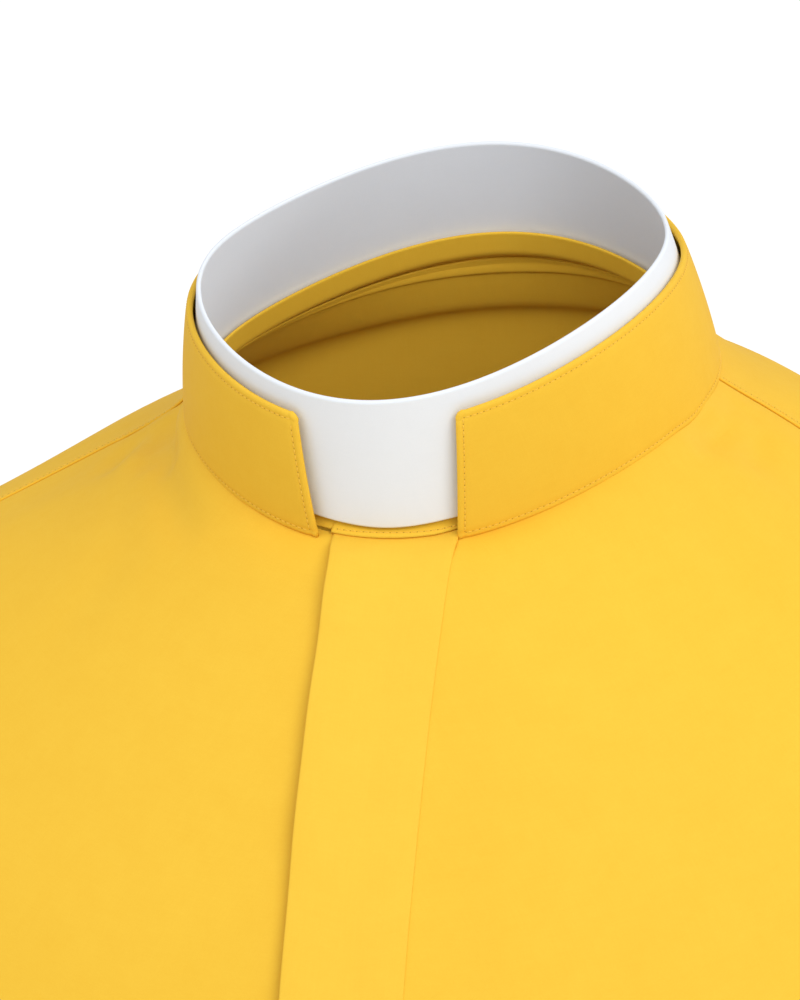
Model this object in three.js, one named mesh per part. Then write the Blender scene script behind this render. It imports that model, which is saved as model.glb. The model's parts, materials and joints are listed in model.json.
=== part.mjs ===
// A clergy shirt with a standing outer collar and a white collar insert, as it hangs when worn.
// Sizes are in millimetres, +Z is up, the front faces -Y and the wearer's left is +X.
// The origin is the middle of the neck, level with the neck seam at its sides.
import * as THREE from 'three';

// Gaps and thicknesses of the cloth
const seamGap = 0.3;
const bodyCloth = 1.2;
const sleeveCloth = 1.2;
const placketCloth = 2.0;
const collarCloth = 1.8;
const insertCloth = 1.4;
const neckbandCloth = 1.2;
const cuffCloth = 2.4;

// Body sections from the neck seam over the shoulders and down to the shirt-tail hem.
// halfWidth, front and back are the reaches from the middle, sideY is where the widest point lies,
// frontZ, sideZ and backZ are the heights there, square is the exponent of the rounded outline,
// and lean raises the wearer's left over the right for each millimetre of width.
const bodySections = [
  { halfWidth: 69.3, front: 68.1, back: 77.4, sideY: 5, frontZ: -28, sideZ: 1.9, backZ: 25.6, square: 2, lean: 0.0295 },
  { halfWidth: 84, front: 79.5, back: 85.5, sideY: 19.2, frontZ: -37.3, sideZ: -8, backZ: 12.8, square: 2, lean: 0.047 },
  { halfWidth: 108, front: 90, back: 93, sideY: 25.3, frontZ: -54, sideZ: -19.1, backZ: 2.6, square: 2, lean: 0.035 },
  { halfWidth: 144, front: 101.5, back: 100.5, sideY: 15.5, frontZ: -76, sideZ: -34.7, backZ: -50.3, square: 2, lean: 0.043 },
  { halfWidth: 184, front: 112, back: 106, sideY: 17.8, frontZ: -100, sideZ: -51.8, backZ: -96, square: 2, lean: 0.03 },
  { halfWidth: 220, front: 123, back: 111, sideY: 15, frontZ: -128, sideZ: -70.8, backZ: -140, square: 2, lean: 0.01 },
  { halfWidth: 236, front: 131.5, back: 113, sideY: 12, frontZ: -160, sideZ: -98, backZ: -180, square: 2.1, lean: 0 },
  { halfWidth: 234, front: 137.5, back: 112, sideY: 6, frontZ: -200, sideZ: -160, backZ: -215, square: 2.25, lean: 0 },
  { halfWidth: 224, front: 140, back: 110, sideY: 0, frontZ: -252, sideZ: -250, backZ: -255, square: 2.4, lean: 0 },
  { halfWidth: 214, front: 138, back: 102, sideY: 0, frontZ: -340, sideZ: -335, backZ: -340, square: 2.4, lean: 0 },
  { halfWidth: 206, front: 133, back: 95, sideY: 0, frontZ: -455, sideZ: -445, backZ: -455, square: 2.4, lean: 0 },
  { halfWidth: 213, front: 134, back: 103, sideY: 0, frontZ: -605, sideZ: -575, backZ: -615, square: 2.3, lean: 0 },
  { halfWidth: 221, front: 138, back: 111, sideY: 0, frontZ: -748, sideZ: -690, backZ: -772, square: 2.2, lean: 0 },
];
const hemRow = bodySections.length - 1;
const underarmRow = 8;
// How quickly a height leaves its side value towards the front and the back, how round it is
// beside the crest, and the part of a ring's tilt that runs straight across the side
const slopePower = 1.15;
const slopeRound = 0.25;
const sideTilt = 0.67;

// Soft folds of the body cloth, as troughs (depth below zero) and ridges along a section angle.
// angle and halfAngle are degrees from the middle front, positive to the wearer's left.
const bodyFolds = [
  { angle: 54, halfAngle: 42, fromRow: -0.7, toRow: 1.1, depth: 1.4 },
  { angle: -60, halfAngle: 50, fromRow: -0.7, toRow: 1.1, depth: 1.6 },
  { angle: -80, halfAngle: 9, fromRow: -0.5, toRow: 3.4, depth: -2.6 },
  { angle: 74, halfAngle: 8, fromRow: -0.5, toRow: 2.6, depth: -1.4 },
  { angle: 40, halfAngle: 11, fromRow: 7.6, toRow: 12.6, depth: 4.2 },
  { angle: 66, halfAngle: 10, fromRow: 8.4, toRow: 12.8, depth: -4.4 },
  { angle: -34, halfAngle: 11, fromRow: 8.2, toRow: 12.8, depth: 3.6 },
  { angle: -60, halfAngle: 12, fromRow: 7.8, toRow: 12.6, depth: -4.8 },
  { angle: 112, halfAngle: 10, fromRow: 8.6, toRow: 12.8, depth: 4.6 },
  { angle: 138, halfAngle: 12, fromRow: 7.2, toRow: 12.6, depth: -5 },
  { angle: 164, halfAngle: 11, fromRow: 8, toRow: 12.8, depth: 4 },
  { angle: -116, halfAngle: 11, fromRow: 8.2, toRow: 12.7, depth: 4.4 },
  { angle: -142, halfAngle: 12, fromRow: 7.4, toRow: 12.6, depth: -4.6 },
  { angle: -168, halfAngle: 10, fromRow: 8.4, toRow: 12.8, depth: 3.4 },
];

// Armhole seam, an oval round the arm in section angle (degrees) and section row
const armhole = { frontAngle: 36, backAngle: 34, topRow: 5.15, bottomRow: 8, steps: 24 };
// Places along the armhole, counted in steps from its top towards the front
const yokeFrontStep = 1;
const yokeBackStep = -3;
const underarmStep = 12;

// Yoke seams: the front one starts at this angle of the neck seam and bends early,
// and the back one crosses the middle of the back at this section row
const yokeNeckAngle = 95.4;
const yokeSeamBend = 2.7;
const yokeBackRow = 4;

// Fly placket: a straight strip on the wearer's left front, its free edge towards the right
const placketMiddle = 3.5;
const placketHalfWidth = 15.9;
const placketFreeLift = 1.5;
const underlapEdge = 17.5;
const leftFrontLift = 1.1;
const leftFrontLiftReach = 70;
const leftFrontLiftRow = 0.9;

// Rings of the collar: halfWidth and halfDepth, the middle's y and z, the drop to the front and
// the rise to the back
const collarFoot = { halfWidth: 71.8, halfDepth: 75.8, midY: 4.5, midZ: 1.2, drop: 30.3, rise: 22.7 };
const collarTop = { halfWidth: 65.6, halfDepth: 77.2, midY: -10, midZ: 33.4, drop: 29.3, rise: 19.9 };
const insertTop = { halfWidth: 61.9, halfDepth: 73.2, midY: -13.4, midZ: 38.8, drop: 28.3, rise: 21.2 };
const collarLean = 0.0295;
const collarBow = 0.7;
// The collar's foot clears the body cloth by this much, measured upwards
const collarSeat = 1.05;
// The collar's foot stands this far outside the neck seam, clear of the leaning neckband
const collarFootGap = 0.6;
// Halvings of the first section step in the search for the cloth's height there
const heightHalvings = 20;
// Edges of the collar's front gap, in degrees from the middle, at its foot and its top
const gapEdges = { leftFoot: 15.9, leftTop: 20.4, rightFoot: 15.65, rightTop: 17.9 };
// The insert stands above the neck seam by this much, and more beside the middle
const insertLift = 2.8;
const insertSideLift = 1.2;
const insertLiftAngle = 20;

// Sleeve sections: the inner and outer points of each oval, its middle y and half its depth
const sleeveSections = [
  { inX: 224, inZ: -250, outX: 224, outZ: -75, midY: 3, halfDepth: 68 },
  { inX: 226.5, inZ: -259, outX: 256, outZ: -101, midY: 5, halfDepth: 71 },
  { inX: 229, inZ: -268, outX: 284, outZ: -148, midY: 6, halfDepth: 76 },
  { inX: 233.5, inZ: -285, outX: 309, outZ: -210, midY: 8, halfDepth: 81 },
  { inX: 243, inZ: -322, outX: 334, outZ: -289, midY: 9, halfDepth: 82 },
  { inX: 267, inZ: -410, outX: 354, outZ: -388, midY: 10, halfDepth: 71 },
  { inX: 293, inZ: -512, outX: 371, outZ: -497, midY: 1, halfDepth: 59 },
  { inX: 312, inZ: -588, outX: 382, outZ: -578, midY: -13, halfDepth: 52 },
  { inX: 322, inZ: -634, outX: 384, outZ: -627, midY: -22, halfDepth: 42 },
];
const armholeBlend = 3.2;
const sleeveRows = [0, 0.35, 0.75, 1.2, 1.7, 2.3, 3, 3.6, 4.2, 4.6, 5, 5.4, 5.9, 6.4, 7, 7.5, 8];
// Soft folds round the sleeve: the angle round it is 0 outside, 90 in front and 180 inside
const sleeveFolds = [
  { around: 120, halfAround: 55, row: 2.6, halfRows: 0.5, depth: -4 },
  { around: 235, halfAround: 50, row: 2.9, halfRows: 0.5, depth: -4 },
  { around: 105, halfAround: 60, row: 4.7, halfRows: 0.4, depth: -4.5 },
  { around: 120, halfAround: 60, row: 5.3, halfRows: 0.4, depth: -4 },
  { around: 250, halfAround: 50, row: 5.9, halfRows: 0.45, depth: -3 },
  { around: 60, halfAround: 50, row: 6.9, halfRows: 0.4, depth: -3 },
];
// Cuff: a band from the sleeve's end to the wrist
const cuffSections = [
  { inX: 321.8, inZ: -634.1, outX: 384.2, outZ: -627.1, midY: -22, halfDepth: 42.2 },
  { inX: 326, inZ: -668, outX: 388, outZ: -661, midY: -28, halfDepth: 41.8 },
  { inX: 330.5, inZ: -701, outX: 391.5, outZ: -694, midY: -34, halfDepth: 41 },
];
// Cuff button: where it sits round the cuff (degrees) and along it, and its size
const button = { around: 305, row: 1, radius: 5.3, thickness: 2.2, sides: 20 };

// Grid lines of the pieces
const rowsAboveArmhole = [0, 0.045, 0.12, 0.26, 0.42, 0.6, 0.8];
const rowsBelowArmhole = [8.5, 9.1, 9.7, 10.3, 10.9, 11.5, 12];
const frontColumns = 12;
const backHalfColumns = 11;
const collarColumns = 48;
const collarRows = [0, 0.34, 0.67, 1];
const cuffRows = [0, 0.5, 1, 1.5, 2];

// Colours of the cloth
const yellowCloth = 0xf9c83c;
const yellowCollarCloth = 0xf7c63e;
const whiteInsert = 0xf0eff1;
const buttonColour = 0xe9c56a;

const radians = THREE.MathUtils.degToRad;

function signedPower(value, power) {
  return Math.sign(value) * Math.abs(value) ** power;
}

// Height on a ring that is 1 along at the front, 0 at the side and -1 at the back: the part that
// both ends share bends off a round crest, and the rest is a tilt from end to end
function ringHeight(along, frontZ, sideZ, backZ) {
  const softened = (value) => Math.hypot(value, slopeRound) ** slopePower;
  const slope = (softened(along) - softened(0)) / (softened(1) - softened(0));
  const tilt = along * (sideTilt + (1 - sideTilt) * along ** 2);
  return sideZ + ((frontZ + backZ) / 2 - sideZ) * slope + ((frontZ - backZ) / 2) * tilt;
}

// Smooth hump: 1 in the middle, 0 from one half width away
function hump(distance, halfWidth) {
  const share = Math.min(1, Math.abs(distance) / halfWidth);
  return (1 - share * share) ** 2;
}

// A named column's value between the rows of a table, on a smooth curve through them
function between(table, column, place) {
  const last = table.length - 1;
  const at = THREE.MathUtils.clamp(place, 0, last);
  const low = Math.min(Math.floor(at), last - 1);
  const share = at - low;
  const p1 = table[low][column];
  const p2 = table[low + 1][column];
  const p0 = low > 0 ? table[low - 1][column] : 2 * p1 - p2;
  const p3 = low + 2 <= last ? table[low + 2][column] : 2 * p2 - p1;
  const bend = 2 * p0 - 5 * p1 + 4 * p2 - p3;
  const twist = -p0 + 3 * p1 - 3 * p2 + p3;
  return 0.5 * (2 * p1 + (p2 - p0) * share + bend * share ** 2 + twist * share ** 3);
}

// Body surface without its folds, at an angle from the middle front (radians) and a section row
function plainBody(angle, row) {
  const value = (column) => between(bodySections, column, row);
  const power = 2 / value('square');
  const across = signedPower(Math.sin(angle), power);
  const along = signedPower(Math.cos(angle), power);
  const sideY = value('sideY');
  const reach = along > 0 ? value('front') + sideY : value('back') - sideY;
  const x = value('halfWidth') * across;
  const z = ringHeight(along, value('frontZ'), value('sideZ'), value('backZ'));
  return new THREE.Vector3(x, sideY - reach * along, z + value('lean') * x);
}

// Outward direction of a surface given as point(a, b), from small steps in both
function directionOut(point, a, b, stepA, stepB) {
  const alongA = point(a + stepA, b).sub(point(a - stepA, b));
  const alongB = point(a, b + stepB).sub(point(a, b - stepB));
  return alongA.cross(alongB).normalize();
}

function bodyFoldDepth(angle, row) {
  let depth = 0;
  for (const fold of bodyFolds) {
    let turn = THREE.MathUtils.radToDeg(angle) - fold.angle;
    turn -= 360 * Math.round(turn / 360);
    const middle = (fold.fromRow + fold.toRow) / 2;
    const half = (fold.toRow - fold.fromRow) / 2;
    depth += fold.depth * hump(turn, fold.halfAngle) * hump(row - middle, half);
  }
  return depth;
}

// Body surface with its folds
function bodyPoint(angle, row) {
  const place = THREE.MathUtils.clamp(row, 0.02, hemRow - 0.02);
  const out = directionOut(plainBody, angle, place, 0.01, 0.02).negate();
  return plainBody(angle, row).addScaledVector(out, bodyFoldDepth(angle, row));
}

function bodyOut(angle, row) {
  const place = THREE.MathUtils.clamp(row, 0.02, hemRow - 0.02);
  return directionOut(bodyPoint, angle, place, 0.01, 0.02).negate();
}

// Section angle at which the body surface lies at this x, near the middle front
function angleAtX(x, row) {
  const share = Math.abs(x) / between(bodySections, 'halfWidth', row);
  return Math.sign(x) * Math.asin(share ** (between(bodySections, 'square', row) / 2));
}

// Place on the armhole seam, counted in steps from its top towards the front
function armholePlace(step) {
  const turn = (step / armhole.steps) * 2 * Math.PI;
  const reach = Math.sin(turn) > 0 ? armhole.frontAngle : armhole.backAngle;
  const middle = (armhole.topRow + armhole.bottomRow) / 2;
  const half = (armhole.bottomRow - armhole.topRow) / 2;
  return { angle: radians(90 - reach * Math.sin(turn)), row: middle - half * Math.cos(turn) };
}

const yokeFrontEnd = armholePlace(yokeFrontStep);

// Section angle of a yoke line that runs from the neck seam to the outer edge, share of the way out
function yokeAngle(neckAngle, outerAngle, share) {
  return neckAngle + (outerAngle - neckAngle) * (1 - (1 - share) ** yokeSeamBend);
}

// A grid point of a wall: its place, the direction out of the cloth, and how far it is lifted
function bodyCell(side, angle, row, lift = 0) {
  const out = bodyOut(side * angle, row);
  return { at: bodyPoint(side * angle, row).addScaledVector(out, lift), out };
}

// Draws the edges of a grid in by half the seam gap
function drawIn(grid, rounds = false) {
  const moves = [];
  const lastRow = grid.length - 1;
  const lastColumn = grid[0].length - 1;
  const pull = (from, to) => to.at.clone().sub(from.at).setLength(seamGap / 2);
  for (let i = 0; i <= lastRow; i += 1) {
    for (let j = 0; j <= lastColumn; j += 1) {
      const move = new THREE.Vector3();
      if (i === 0) move.add(pull(grid[0][j], grid[1][j]));
      if (i === lastRow) move.add(pull(grid[i][j], grid[i - 1][j]));
      if (!rounds && j === 0) move.add(pull(grid[i][0], grid[i][1]));
      if (!rounds && j === lastColumn) move.add(pull(grid[i][j], grid[i][j - 1]));
      moves.push([grid[i][j], move]);
    }
  }
  moves.forEach(([cell, move]) => cell.at.add(move));
}

// Closed wall from a grid: the outer face, the inner face and the rim between them
function wall(grid, thickness, rounds = false) {
  drawIn(grid, rounds);
  const rows = grid.length;
  const columns = grid[0].length;
  const outer = grid.flat().map((cell) => cell.at);
  const inner = grid.flat().map((cell) => cell.at.clone().addScaledVector(cell.out, -thickness));
  const count = outer.length;
  const index = [];
  const quad = (a, b, c, d) => index.push(a, b, c, a, c, d);
  const spans = rounds ? columns : columns - 1;
  const id = (i, j) => i * columns + (j % columns);
  for (let i = 0; i < rows - 1; i += 1) {
    for (let j = 0; j < spans; j += 1) {
      const corners = [id(i, j), id(i + 1, j), id(i + 1, j + 1), id(i, j + 1)];
      quad(...corners);
      quad(...corners.map((corner) => corner + count).reverse().map((c, n, all) => all[(n + 3) % 4]));
    }
  }
  const rim = (a, b) => quad(a, b, b + count, a + count);
  for (let j = 0; j < spans; j += 1) {
    rim(id(0, j), id(0, j + 1));
    rim(id(rows - 1, j + 1), id(rows - 1, j));
  }
  for (let i = 0; i < rows - 1 && !rounds; i += 1) {
    rim(id(i + 1, 0), id(i, 0));
    rim(id(i, columns - 1), id(i + 1, columns - 1));
  }
  return closedBody([...outer, ...inner], index);
}

function enclosedVolume(points, index) {
  let volume = 0;
  for (let i = 0; i < index.length; i += 3) {
    const [a, b, c] = [0, 1, 2].map((corner) => points[index[i + corner]]);
    volume += a.clone().cross(b).dot(c) / 6;
  }
  return volume;
}

function closedBody(points, index) {
  const facesOut = enclosedVolume(points, index) > 0;
  const order = facesOut ? index : index.slice().reverse();
  const geometry = new THREE.BufferGeometry();
  geometry.setAttribute('position', new THREE.Float32BufferAttribute(points.flatMap((p) => p.toArray()), 3));
  geometry.setIndex(order);
  geometry.computeVertexNormals();
  return geometry;
}

const shirt = new THREE.Group();
shirt.name = 'clergy_shirt';

function addPiece(name, geometry, color, roughness) {
  const material = new THREE.MeshStandardMaterial({ color, roughness, metalness: 0 });
  const mesh = new THREE.Mesh(geometry, material);
  mesh.name = name;
  shirt.add(mesh);
  return mesh;
}

// Front: rows run from the middle edge to the yoke seam, the armhole and the side seam.
// side is 1 for the wearer's left and -1 for the right.
function frontGrid(side, middleX, lift) {
  const edges = rowsAboveArmhole.map((share) => {
    const row = share * yokeFrontEnd.row;
    const angle = yokeAngle(radians(yokeNeckAngle), yokeFrontEnd.angle, share);
    return { row, middleRow: row, angle };
  });
  for (let step = yokeFrontStep; step <= underarmStep; step += 1) {
    const place = armholePlace(step);
    const share = (step - yokeFrontStep) / (underarmStep - yokeFrontStep);
    const middleRow = THREE.MathUtils.lerp(yokeFrontEnd.row, underarmRow, share);
    edges.push({ row: place.row, middleRow, angle: place.angle });
  }
  rowsBelowArmhole.forEach((row) => edges.push({ row, middleRow: row, angle: Math.PI / 2 }));
  return edges.map((edge) => {
    const cells = [];
    for (let column = 0; column <= frontColumns; column += 1) {
      const share = column / frontColumns;
      const row = edge.middleRow + (edge.row - edge.middleRow) * share ** 2;
      const start = side * angleAtX(middleX, row);
      const angle = start + (edge.angle - start) * share;
      cells.push(bodyCell(side, angle, row, lift(angle, row)));
    }
    return cells;
  });
}

// Below the neck seam the left front rises to meet the placket that is sewn along its middle edge
function leftLift(angle, row) {
  const x = bodyPoint(angle, row).x - placketMiddle - placketHalfWidth;
  return leftFrontLift * hump(x, leftFrontLiftReach) * THREE.MathUtils.smoothstep(row, 0, leftFrontLiftRow);
}

function buildFronts() {
  const leftGrid = frontGrid(1, placketMiddle + placketHalfWidth, leftLift);
  const rightGrid = frontGrid(-1, underlapEdge, () => 0);
  addPiece('front_left', wall(leftGrid, bodyCloth), yellowCloth, 0.6);
  addPiece('front_right', wall(rightGrid, bodyCloth), yellowCloth, 0.6);
}

// Fly placket: its face lies over both fronts and its free edge stands off the right one
function buildPlacket() {
  const rows = [...rowsAboveArmhole.map((share) => share * yokeFrontEnd.row)];
  for (let step = yokeFrontStep; step <= underarmStep; step += 1) {
    const share = (step - yokeFrontStep) / (underarmStep - yokeFrontStep);
    rows.push(THREE.MathUtils.lerp(yokeFrontEnd.row, underarmRow, share));
  }
  rows.push(...rowsBelowArmhole);
  const grid = rows.map((row) => [-1, -0.4, 0.2, 1].map((share) => {
    const x = placketMiddle + placketHalfWidth * share;
    const lift = seamGap + placketCloth + placketFreeLift * hump(share + 1, 1.2);
    return bodyCell(1, angleAtX(x, row), row, lift);
  }));
  addPiece('fly_placket', wall(grid, placketCloth), yellowCloth, 0.6);
}

// Shape of the back yoke seam between the armhole and the middle of the back
function backSeamShare(share) {
  return 1 - (1 - share) ** 2;
}

// Yoke: lines run from the neck seam to the armholes and the back seam
function buildYoke() {
  const half = [];
  for (let step = yokeFrontStep; step > yokeBackStep; step -= 1) {
    half.push(armholePlace(step));
  }
  const backEnd = armholePlace(yokeBackStep);
  for (let column = 0; column <= backHalfColumns; column += 1) {
    const share = column / backHalfColumns;
    half.push({
      angle: THREE.MathUtils.lerp(backEnd.angle, Math.PI, share),
      row: THREE.MathUtils.lerp(backEnd.row, yokeBackRow, backSeamShare(share)),
    });
  }
  const lines = half.map((end, column) => ({
    end,
    neck: radians(THREE.MathUtils.lerp(yokeNeckAngle, 180, column / (half.length - 1))),
    side: 1,
  }));
  const mirrored = lines.slice(0, -1).reverse().map((line) => ({ ...line, side: -1 }));
  const all = [...lines, ...mirrored];
  const grid = [...rowsAboveArmhole, 1].map((share) => all.map(({ end, neck, side }) => (
    bodyCell(side, yokeAngle(neck, end.angle, share), share * end.row)
  )));
  addPiece('yoke', wall(grid, bodyCloth), yellowCloth, 0.6);
}

// Back: rows run from one armhole or side seam to the other
function buildBack() {
  const edges = [];
  const armSteps = underarmStep + yokeBackStep;
  for (let step = 0; step <= armSteps; step += 1) {
    const place = armholePlace(yokeBackStep - step);
    const middleRow = THREE.MathUtils.lerp(yokeBackRow, underarmRow, step / armSteps);
    edges.push({ angle: place.angle, row: place.row, middleRow });
  }
  rowsBelowArmhole.forEach((row) => edges.push({ angle: Math.PI / 2, row, middleRow: row }));
  const grid = edges.map((edge) => {
    const cells = [];
    for (let column = -backHalfColumns; column <= backHalfColumns; column += 1) {
      const share = 1 - Math.abs(column) / backHalfColumns;
      const side = column < 0 ? 1 : -1;
      const row = THREE.MathUtils.lerp(edge.row, edge.middleRow, backSeamShare(share));
      cells.push(bodyCell(side, THREE.MathUtils.lerp(edge.angle, Math.PI, share), row));
    }
    return cells;
  });
  addPiece('back', wall(grid, bodyCloth), yellowCloth, 0.6);
}

// Point of an oval sleeve or cuff section, turn 0 outside, a quarter in front and half inside
function ovalPoint(sections, side, turn, place) {
  const value = (column) => between(sections, column, place);
  const reachX = (value('outX') - value('inX')) / 2;
  const reachZ = (value('outZ') - value('inZ')) / 2;
  const x = value('inX') + reachX * (1 + Math.cos(turn));
  const z = value('inZ') + reachZ * (1 + Math.cos(turn));
  return new THREE.Vector3(side * x, value('midY') - value('halfDepth') * Math.sin(turn), z);
}

function sleeveFoldDepth(turn, place) {
  let depth = 0;
  for (const fold of sleeveFolds) {
    let away = THREE.MathUtils.radToDeg(turn) - fold.around;
    away -= 360 * Math.round(away / 360);
    depth += fold.depth * hump(away, fold.halfAround) * hump(place - fold.row, fold.halfRows);
  }
  return depth;
}

// The sleeve starts on the armhole seam and passes into its own ovals
function sleevePoint(side, turn, place) {
  const point = ovalPoint(sleeveSections, side, turn, place);
  const seam = armholePlace((turn / (2 * Math.PI)) * armhole.steps);
  const offset = bodyPoint(side * seam.angle, seam.row).sub(ovalPoint(sleeveSections, side, turn, 0));
  const share = Math.max(0, 1 - Math.max(0, place) / armholeBlend);
  point.addScaledVector(offset, share ** 2);
  const middle = ovalPoint(sleeveSections, side, turn + Math.PI, place).add(point).multiplyScalar(0.5);
  const inward = middle.sub(point).normalize();
  return point.addScaledVector(inward, -sleeveFoldDepth(turn, place));
}

// Direction out of a tube, away from the point across it
function tubeOut(point, side, turn, place, step) {
  const out = directionOut((a, b) => point(side, a, b), turn, place, 0.02, step);
  const away = point(side, turn, place).sub(point(side, turn + Math.PI, place));
  return out.dot(away) < 0 ? out.negate() : out;
}

function tubeGrid(point, side, places, inset) {
  return places.map((place) => {
    const cells = [];
    for (let step = 0; step < armhole.steps; step += 1) {
      const turn = (step / armhole.steps) * 2 * Math.PI;
      const near = THREE.MathUtils.clamp(place, inset, places.at(-1) - inset);
      cells.push({ at: point(side, turn, place), out: tubeOut(point, side, turn, near, inset) });
    }
    return cells;
  });
}

function buildSleeve(side, name) {
  const sleeve = tubeGrid(sleevePoint, side, sleeveRows, 0.04);
  addPiece(`sleeve_${name}`, wall(sleeve, sleeveCloth, true), yellowCloth, 0.6);
}

function cuffPoint(side, turn, place) {
  return ovalPoint(cuffSections, side, turn, place);
}

function buildCuff(side, name) {
  const cuff = tubeGrid(cuffPoint, side, cuffRows, 0.02);
  addPiece(`cuff_${name}`, wall(cuff, cuffCloth, true), yellowCollarCloth, 0.55);
  const turn = radians(button.around);
  const out = tubeOut(cuffPoint, side, turn, button.row, 0.02);
  const shape = new THREE.CylinderGeometry(button.radius, button.radius, button.thickness, button.sides);
  const disc = addPiece(`cuff_button_${name}`, shape, buttonColour, 0.35);
  disc.quaternion.setFromUnitVectors(new THREE.Vector3(0, 1, 0), out);
  disc.position.copy(cuffPoint(side, turn, button.row));
  disc.position.addScaledVector(out, seamGap + button.thickness / 2);
}

// Ring of the collar at an angle from the middle front, leaning with the neck
function ringPoint(ring, angle) {
  const along = Math.cos(angle);
  const x = ring.halfWidth * Math.sin(angle);
  const z = ringHeight(along, ring.midZ - ring.drop, ring.midZ, ring.midZ + ring.rise);
  return new THREE.Vector3(x - collarLean * z, ring.midY - ring.halfDepth * along, z + collarLean * x);
}

// Height of the body cloth at this x and y, just outside the neck seam, where the sections are ellipses
function bodyHeight(x, y) {
  const value = (column, row) => between(bodySections, column, row);
  const reach = (row) => {
    const sideY = value('sideY', row);
    return y < sideY ? value('front', row) + sideY : value('back', row) - sideY;
  };
  let near = 0;
  let far = 1;
  for (let halving = 0; halving < heightHalvings; halving += 1) {
    const row = (near + far) / 2;
    const beyond = Math.hypot(x / value('halfWidth', row), (y - value('sideY', row)) / reach(row)) > 1;
    near = beyond ? row : near;
    far = beyond ? far : row;
  }
  const angle = Math.atan2(x / value('halfWidth', near), (value('sideY', near) - y) / reach(near));
  return plainBody(angle, near).z + bodyFoldDepth(angle, near);
}

// Outer collar between its foot, which stands on the body cloth, and its top, slightly bowed out;
// share of the way up
function collarPoint(angle, share) {
  const foot = ringPoint(collarFoot, angle);
  foot.z = bodyHeight(foot.x, foot.y) + collarSeat;
  const point = foot.lerp(ringPoint(collarTop, angle), share);
  const outward = new THREE.Vector3(Math.sin(angle), -Math.cos(angle), 0);
  return point.addScaledVector(outward, collarBow * 4 * share * (1 - share));
}

// The foot of the collar slopes with the cloth that it stands on
function collarCell(angle, share) {
  const at = collarPoint(angle, share);
  if (share > 0) {
    return { at, out: directionOut(collarPoint, angle, share, 0.01, 0.01) };
  }
  const inside = bodyPoint(angle, 0).add(new THREE.Vector3(0, 0, collarSeat));
  const outward = new THREE.Vector3(Math.sin(angle), -Math.cos(angle), 0);
  inside.addScaledVector(outward, collarFootGap);
  return { at, out: at.clone().sub(inside).divideScalar(collarCloth) };
}

function buildCollar() {
  const grid = collarRows.map((share) => {
    const cells = [];
    const from = THREE.MathUtils.lerp(gapEdges.leftFoot, gapEdges.leftTop, share);
    const to = 360 - THREE.MathUtils.lerp(gapEdges.rightFoot, gapEdges.rightTop, share);
    for (let column = 0; column <= collarColumns; column += 1) {
      const angle = radians(THREE.MathUtils.lerp(from, to, column / collarColumns));
      cells.push(collarCell(angle, share));
    }
    return cells;
  });
  addPiece('collar_outer', wall(grid, collarCloth), yellowCollarCloth, 0.55);
}

// Height of the insert's lower edge over the neck seam
function insertRise(angle) {
  const away = Math.abs(THREE.MathUtils.radToDeg(Math.atan2(Math.sin(angle), Math.cos(angle))));
  return insertLift + insertSideLift * THREE.MathUtils.smoothstep(away, 0, insertLiftAngle);
}

// Inner band on the line from the neck seam to the insert's top edge: the neckband's part of it
// reaches up to the insert's lower edge, and the insert takes the rest
function innerBandPoint(angle, height) {
  const foot = plainBody(angle, 0);
  const along = ringPoint(insertTop, angle).sub(foot).normalize();
  return foot.addScaledVector(along, height);
}

function innerBandCells(heightAt) {
  const cells = [];
  for (let column = 0; column < collarColumns; column += 1) {
    const angle = 2 * Math.PI * (column / collarColumns);
    const height = heightAt(angle);
    const out = directionOut(innerBandPoint, angle, height, 0.01, 1);
    cells.push({ at: innerBandPoint(angle, height), out });
  }
  return cells;
}

function buildInsert() {
  const heightTo = (share) => (angle) => {
    const whole = ringPoint(insertTop, angle).distanceTo(plainBody(angle, 0));
    return THREE.MathUtils.lerp(insertRise(angle), whole, share);
  };
  const grid = collarRows.map((share) => innerBandCells(heightTo(share)));
  addPiece('collar_insert', wall(grid, insertCloth, true), whiteInsert, 0.5);
}

function buildNeckband() {
  const grid = [innerBandCells(() => seamGap), innerBandCells(insertRise)];
  addPiece('neckband', wall(grid, neckbandCloth, true), yellowCloth, 0.6);
}

buildFronts();
buildPlacket();
buildYoke();
buildBack();
buildSleeve(1, 'left');
buildSleeve(-1, 'right');
buildCuff(1, 'left');
buildCuff(-1, 'right');
buildCollar();
buildInsert();
buildNeckband();

export default shirt;
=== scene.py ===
# %% [markdown]
# # A clergy shirt, piece by piece
# The real shirt is a handful of flat cloth pieces sewn into a hollow form: two fronts, a fly placket,
# a yoke, a back, two sleeves with cuffs, a neckband, a standing outer collar and a white insert.
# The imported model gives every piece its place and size, so this first cell loads it as the frame.

# %% Load the frame
import json
import math

import bmesh
import bpy
import numpy as np
from mathutils import Matrix, Vector

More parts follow.
